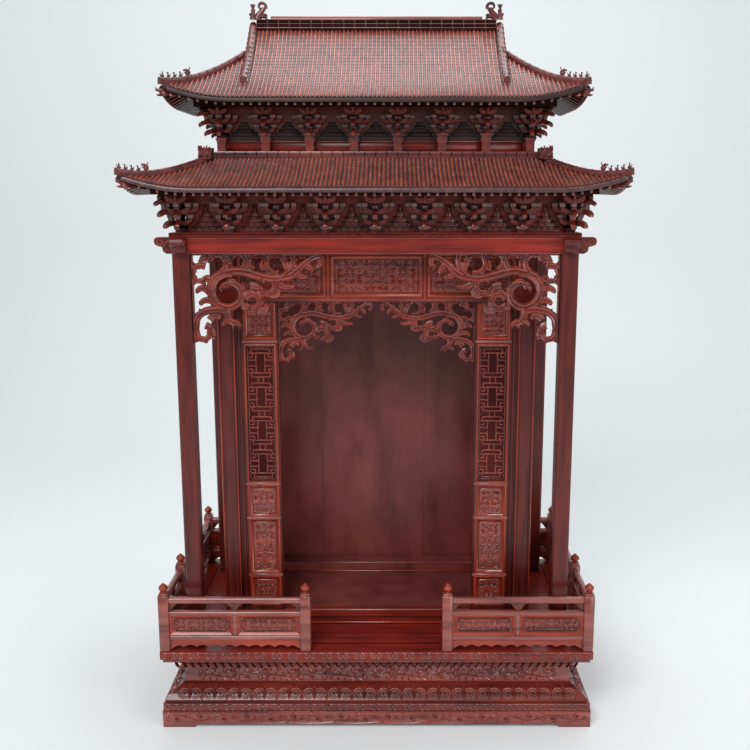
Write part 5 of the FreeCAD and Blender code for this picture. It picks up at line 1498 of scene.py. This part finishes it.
# Plinth


def meander(mesh, at, half, low, high, cell, rise, tag=0):
    """A square fret along a band."""
    count = 2 * round(half / cell)
    step = 2 * half / count
    wide = (high - low) / 7
    rows = [low + (high - low) * share for share in (0.12, 0.38, 0.64, 0.9)]
    path = [(0.0, 3), (0.82, 3), (0.82, 0), (0.3, 0), (0.3, 2), (0.56, 2), (0.56, 1)]
    for i in range(count):
        u = -half + step * i
        flip = 1 if i % 2 else -1
        points = [(u + step / 2 + flip * (x - 0.41) * step, rows[n]) for x, n in path]
        for (a, b), (c, d) in zip(points, points[1:]):
            x = (min(a, c) - wide / 2, max(a, c) + wide / 2)
            z = (min(b, d) - wide / 2, max(b, d) + wide / 2)
            mesh.box(x, (-0.4, rise), z, rise * 0.4, tag, board_at(at))


def vine(mesh, at, half, low, high, pitch, rise, tag=0):
    """A running vine: a wave along the band with a curl, a bloom and leaves in each bend."""
    count = 2 * round(half / pitch)
    step = 2 * half / count
    middle, swing = (low + high) / 2, (high - low) * 0.26
    line = [(-half + 2 + (2 * half - 4) * k / (count * 6),
             middle + swing * math.sin(math.pi * k / 6)) for k in range(count * 6 + 1)]
    stroke(mesh, at, line, 2.6, rise, tag)
    for i in range(count):
        u = -half + step * (i + 0.5)
        way = 1 if i % 2 else -1
        z = middle + way * swing * 0.55
        stroke(mesh, at, arc((u, z), swing * 1.05, 90 * way, 330, 0.3, 9), 2.6, rise, tag)
        bloom(mesh, at, u, z, swing * 0.5, rise, 5, tag)
        for k in (-1, 1):
            back = 90 - 90 * k
            leaf(mesh, at, u + k * step * 0.2, middle - way * swing * 0.7, step * 0.26, 4.4, way * 40 + back,
                 rise, tag)
            leaf(mesh, at, u + k * step * 0.34, middle + way * swing * 0.2, step * 0.2, 3.6, -way * 50 + back,
                 rise, tag)


def foot_carving():
    """A vine, a bead and a scalloped line round the foot."""
    high = edges("base_foot")[1].z
    mesh = Mesh()
    for side in SIDES:
        half, out = side_size(side, "base_foot")
        at = face(side, out)
        vine(mesh, at, half - 4, 8.5, high - 2, 42, 1.8)
        mesh.box((-half + 0.6, half - 0.6), (-0.5, 0.9), (high - 2.2, high - 0.3), 0.4, 1, board_at(at))
        line = [((half - 60) * k / 24,
                 7.4 + (1.6 if k % 6 else 3.2) * (0.5 + 0.5 * math.cos(math.pi * k / 3)))
                for k in range(-24, 25)]
        stroke(mesh, at, line, 2.2, 1.0, 1)
    mesh.make("foot_vine", ["relief", "edge"], "carved", (), 45)


def fret_carving():
    """Meanders on the band over the foot and on the edge of the deck."""
    mesh = Mesh()
    for side in SIDES:
        for node, below, above in (("base_fret_band", 0.6, 0.8), ("deck", 1.8, 1.6)):
            half, out = side_size(side, node)
            low, high = edges(node)
            meander(mesh, face(side, out), half - 2, low.z + below, high.z - above, 15.5, 1.2)
    # The frets take the paler rail wood: partly its mauve tone, partly painted sheen standing for the light
    # on the deck's edge.
    mesh.make("fret_bands", "rail", "carved", (), 40)


def lotus_petals():
    """Pairs of scrolled petals round small blooms on the leaning band, with points between them."""
    mesh = Mesh()
    low, high = edges("base_lotus_band")[0].z + 5, edges("base_lotus_band")[1].z
    for side in SIDES:
        half, out = side_size(side, "base_lotus_band")
        at = leaning_face(side, out, (low, high), 27, 3.8)
        inner = half - 20
        count = round(2 * inner / 47)
        step = 2 * inner / count
        for i in range(count):
            u, w = -inner + step * (i + 0.5), 13.5
            for flip in (-1, 1):
                for radius, wide, rise in ((10.6, 4.0, 2.6), (6.2, 3.4, 2.2)):
                    line = arc((u + flip * 10.6, w), radius, 90 + flip * 70, -flip * 300, 0.9, 12)
                    stroke(mesh, at, line, wide, rise, 1, DOME, ends=(0.7, 0.7))
                bloom(mesh, at, u + flip * 10.6, w, 3.2, 2.6, 5, 1)
            leaf(mesh, at, u, w - 12, 20, 7, 90, 3.2, 0, 0)
            bloom(mesh, at, u, w + 4, 6.5, 4.0, 5, 0)
            leaf(mesh, at, u + step / 2, 0, 12, 8, 90, 2.6, 0, 0)
            leaf(mesh, at, u, w + 8, 11, 8, 90, 1.6, 0, 0)
        place = board_at(face(side, out - 6.4))
        mesh.box((-half + 7, half - 7), (0, 1.4), (low - 4.4, low - 1.4), 0.6, 2, place)
    mesh.make("lotus_petals", ["carved", "rail", "edge"], "carved", (), 50)


def waist_bloom(mesh, at, u, middle):
    """A flower in a star of leaves, with a pair of curls and leaves on each side."""
    for angle in range(0, 360, 30):
        long = 21 if angle % 180 == 0 else 12.5 if angle % 90 else 13
        leaf(mesh, at, u, middle, long, 5.5, angle, 1.5, 0, 0.1)
    bloom(mesh, at, u, middle, 6, 2.2, 6, 1)
    for flip, way in QUARTERS:
        centre = (u + flip * 21, middle + way * 7.5)
        stroke(mesh, at, arc(centre, 6.2, -90 * way, flip * way * 330, 0.3, 9), 2.6, 1.5)
        leaf(mesh, at, u + flip * 26, middle + way * 5, 11, 4.5, 90 - flip * 90 + way * flip * 20, 1.4)


def waist_spray(mesh, at, u, middle):
    """A wavy stem with leaves and five flowers."""
    ends = ((u - 34, middle - 9), (u + 34, middle - 5))
    handles = ((u - 12, middle + 8), (u + 10, middle - 16))
    stem = bend(ends, handles, 12)
    stroke(mesh, at, stem, 2.8, 1.6)
    for k in range(1, 12):
        way = 1 if k % 2 else -1
        leaf(mesh, at, *stem[k], 12, 5.2, 90 * way + (55 - 10 * k) * way, 1.4)
    for x, z, size in ((-22, 5, 7), (-4, 8, 5.5), (17, 5, 7), (30, 6, 5), (-31, -3, 5)):
        bloom(mesh, at, u + x, middle + z, size, 1.8, 6, 0)


def waist_carving():
    """Diamond blooms and longer sprays in turn along the waist, inside thin beads."""
    mesh = Mesh()
    low, high = edges("base_waist")[0].z, edges("base_waist")[1].z
    middle = (low + high) / 2
    for side in SIDES:
        half, out = side_size(side, "base_waist")
        at = face(side, out)
        count = 6 if side in LONG_SIDES else 3
        step = 2 * half / count
        for i in range(1, count):
            waist_bloom(mesh, at, -half + step * i, middle)
        for i in range(count):
            waist_spray(mesh, at, -half + step * (i + 0.5), middle)
        for z in ((low + 0.2, low + 2.2), (high - 2.2, high - 0.2)):
            mesh.box((-half, half), (-0.5, 1.2), z, 0.5, 2, board_at(at))
    mesh.make("waist_sprays", ["relief", "lip", "edge"], "carved", (), 50)


def cornice_leaves():
    """A row of full, hanging leaves that fill the hollow under the deck."""
    mesh = Mesh()
    low, high = edges("base_cornice")[0].z + 3.5, edges("base_cornice")[1].z - 7
    for side in SIDES:
        half, out = side_size(side, "base_cornice")
        at = leaning_face(side, out - 29, (low, high), -29, -4.6)
        slope = math.hypot(29, high - low)
        inner = half - 22
        count = round(2 * inner / 14)
        step = 2 * inner / count
        for i in range(count):
            u = -inner + step * (i + 0.5)
            line = [(u, slope + 2 - (slope - 19) * k / 5) for k in range(6)]
            stroke(mesh, at, line, step * 1.06, 8.5, 0, DOME, ends=(1, 0.7))
            stroke(mesh, at, line[:5], step * 0.4, 10, 1, DOME, ends=(0.9, 0.6), base=6.5)
    mesh.make("cornice_leaves", ["relief", "edge"], "carved", (), 50)


def deck_lines():
    """The mitred frame of the deck: joints set in from its edges."""
    mesh = Mesh()
    z = (DECK - 0.2, DECK + 0.35)
    for inset in (33, 35.4):
        x, y = PLINTH_X - inset, PLINTH_Y - inset
        for side in (-1, 1):
            mesh.box((-x, x), (side * y - 0.4, side * y + 0.4), z, 0)
            mesh.box((side * x - 0.4, side * x + 0.4), (-y, y), z, 0)
    mesh.make("deck_joints", "shadow", "frame")


bracket_rows("lower", LOWER_ZONE, COLUMN_X, COLUMN_Y, PLATE_TOP, LOWER_BAYS, False)
bracket_rows("upper", UPPER_ZONE, UPPER_X, UPPER_Y, BAND_TOP + UPPER_POST, UPPER_BAYS, True)
lower_boards()
upper_boards()
beam_mouldings()
nose_carving()
header_panels()
jamb_mouldings()
leaves()
lattice_bars()
niche_lines()
spandrels()
railing_posts()
railings()
foot_carving()
fret_carving()
lotus_petals()
waist_carving()
cornice_leaves()
deck_lines()


# Stage, light and camera


def pale(name, colour, glow):
    """A plain matt surface that reads pale to the camera and keeps the object's shadow."""
    material = bpy.data.materials.new(name)
    material.use_nodes = True
    shader = material.node_tree.nodes["Principled BSDF"]
    shader.inputs["Base Color"].default_value = rgb(colour)
    shader.inputs["Roughness"].default_value = 0.9
    shader.inputs["Emission Color"].default_value = rgb(colour)
    shader.inputs["Emission Strength"].default_value = glow
    return material


def build_stage():
    """A pale cloth on the ground that curves up behind the cabinet."""
    mesh = bpy.data.meshes.new("floor")
    width, front, back, radius, height = 6.0, -4.0, 1.6, 0.8, 4.0
    line = [(front, 0)]
    for i in range(13):
        angle = math.pi / 2 * i / 12
        line.append((back + radius * math.sin(angle), radius * (1 - math.cos(angle))))
    line.append((back + radius, height))
    points = [(side * width, y, z) for y, z in line for side in (-1, 1)]
    faces = [(2 * i, 2 * i + 1, 2 * i + 3, 2 * i + 2) for i in range(len(line) - 1)]
    mesh.from_pydata(points, [], faces)
    mesh.polygons.foreach_set("use_smooth", [True] * len(mesh.polygons))
    mesh.materials.append(pale("pale_cloth", "e2e6e6", 0.06))
    floor = bpy.data.objects.new("floor", mesh)
    bpy.context.scene.collection.objects.link(floor)


def area_light(name, place, aim, width, height, power):
    """A soft lamp turned to a point."""
    lamp = bpy.data.lights.new(name, "AREA")
    lamp.shape = "RECTANGLE"
    lamp.size, lamp.size_y = width, height
    lamp.energy = power
    item = bpy.data.objects.new(name, lamp)
    item.location = place
    item.rotation_euler = (Vector(aim) - Vector(place)).to_track_quat("-Z", "Y").to_euler()
    bpy.context.scene.collection.objects.link(item)


def build_lights():
    """Plain soft light from the left front, from above and from the right."""
    world = bpy.data.worlds.new("studio")
    world.use_nodes = True
    back = world.node_tree.nodes["Background"]
    back.inputs["Color"].default_value = (0.92, 0.95, 1.0, 1)
    back.inputs["Strength"].default_value = 0.45
    bpy.context.scene.world = world
    area_light("key", (-0.9, -2.6, 2.9), (0, 0, 0.7), 1.6, 1.2, 74)
    area_light("top", (0.3, 0.5, 3.2), (0, 0, 0.9), 2.4, 2.0, 42)
    area_light("fill", (2.2, -2.4, 1.2), (0, 0, 0.6), 1.6, 1.6, 26)


def build_camera():
    """The photograph's view, a little from above and nearly square on."""
    camera = bpy.data.cameras.new("camera")
    camera.sensor_width = 36
    camera.lens = 45.888
    camera.shift_x, camera.shift_y = -0.02733, -0.008
    item = bpy.data.objects.new("camera", camera)
    item.location = (0.03516, -1.86095, 0.99506)
    item.rotation_euler = (math.radians(90 - 10.7788), 0, 0)
    bpy.context.scene.collection.objects.link(item)
    bpy.context.scene.camera = item


build_stage()
build_lights()
build_camera()
bpy.context.scene.view_settings.view_transform = "Standard"
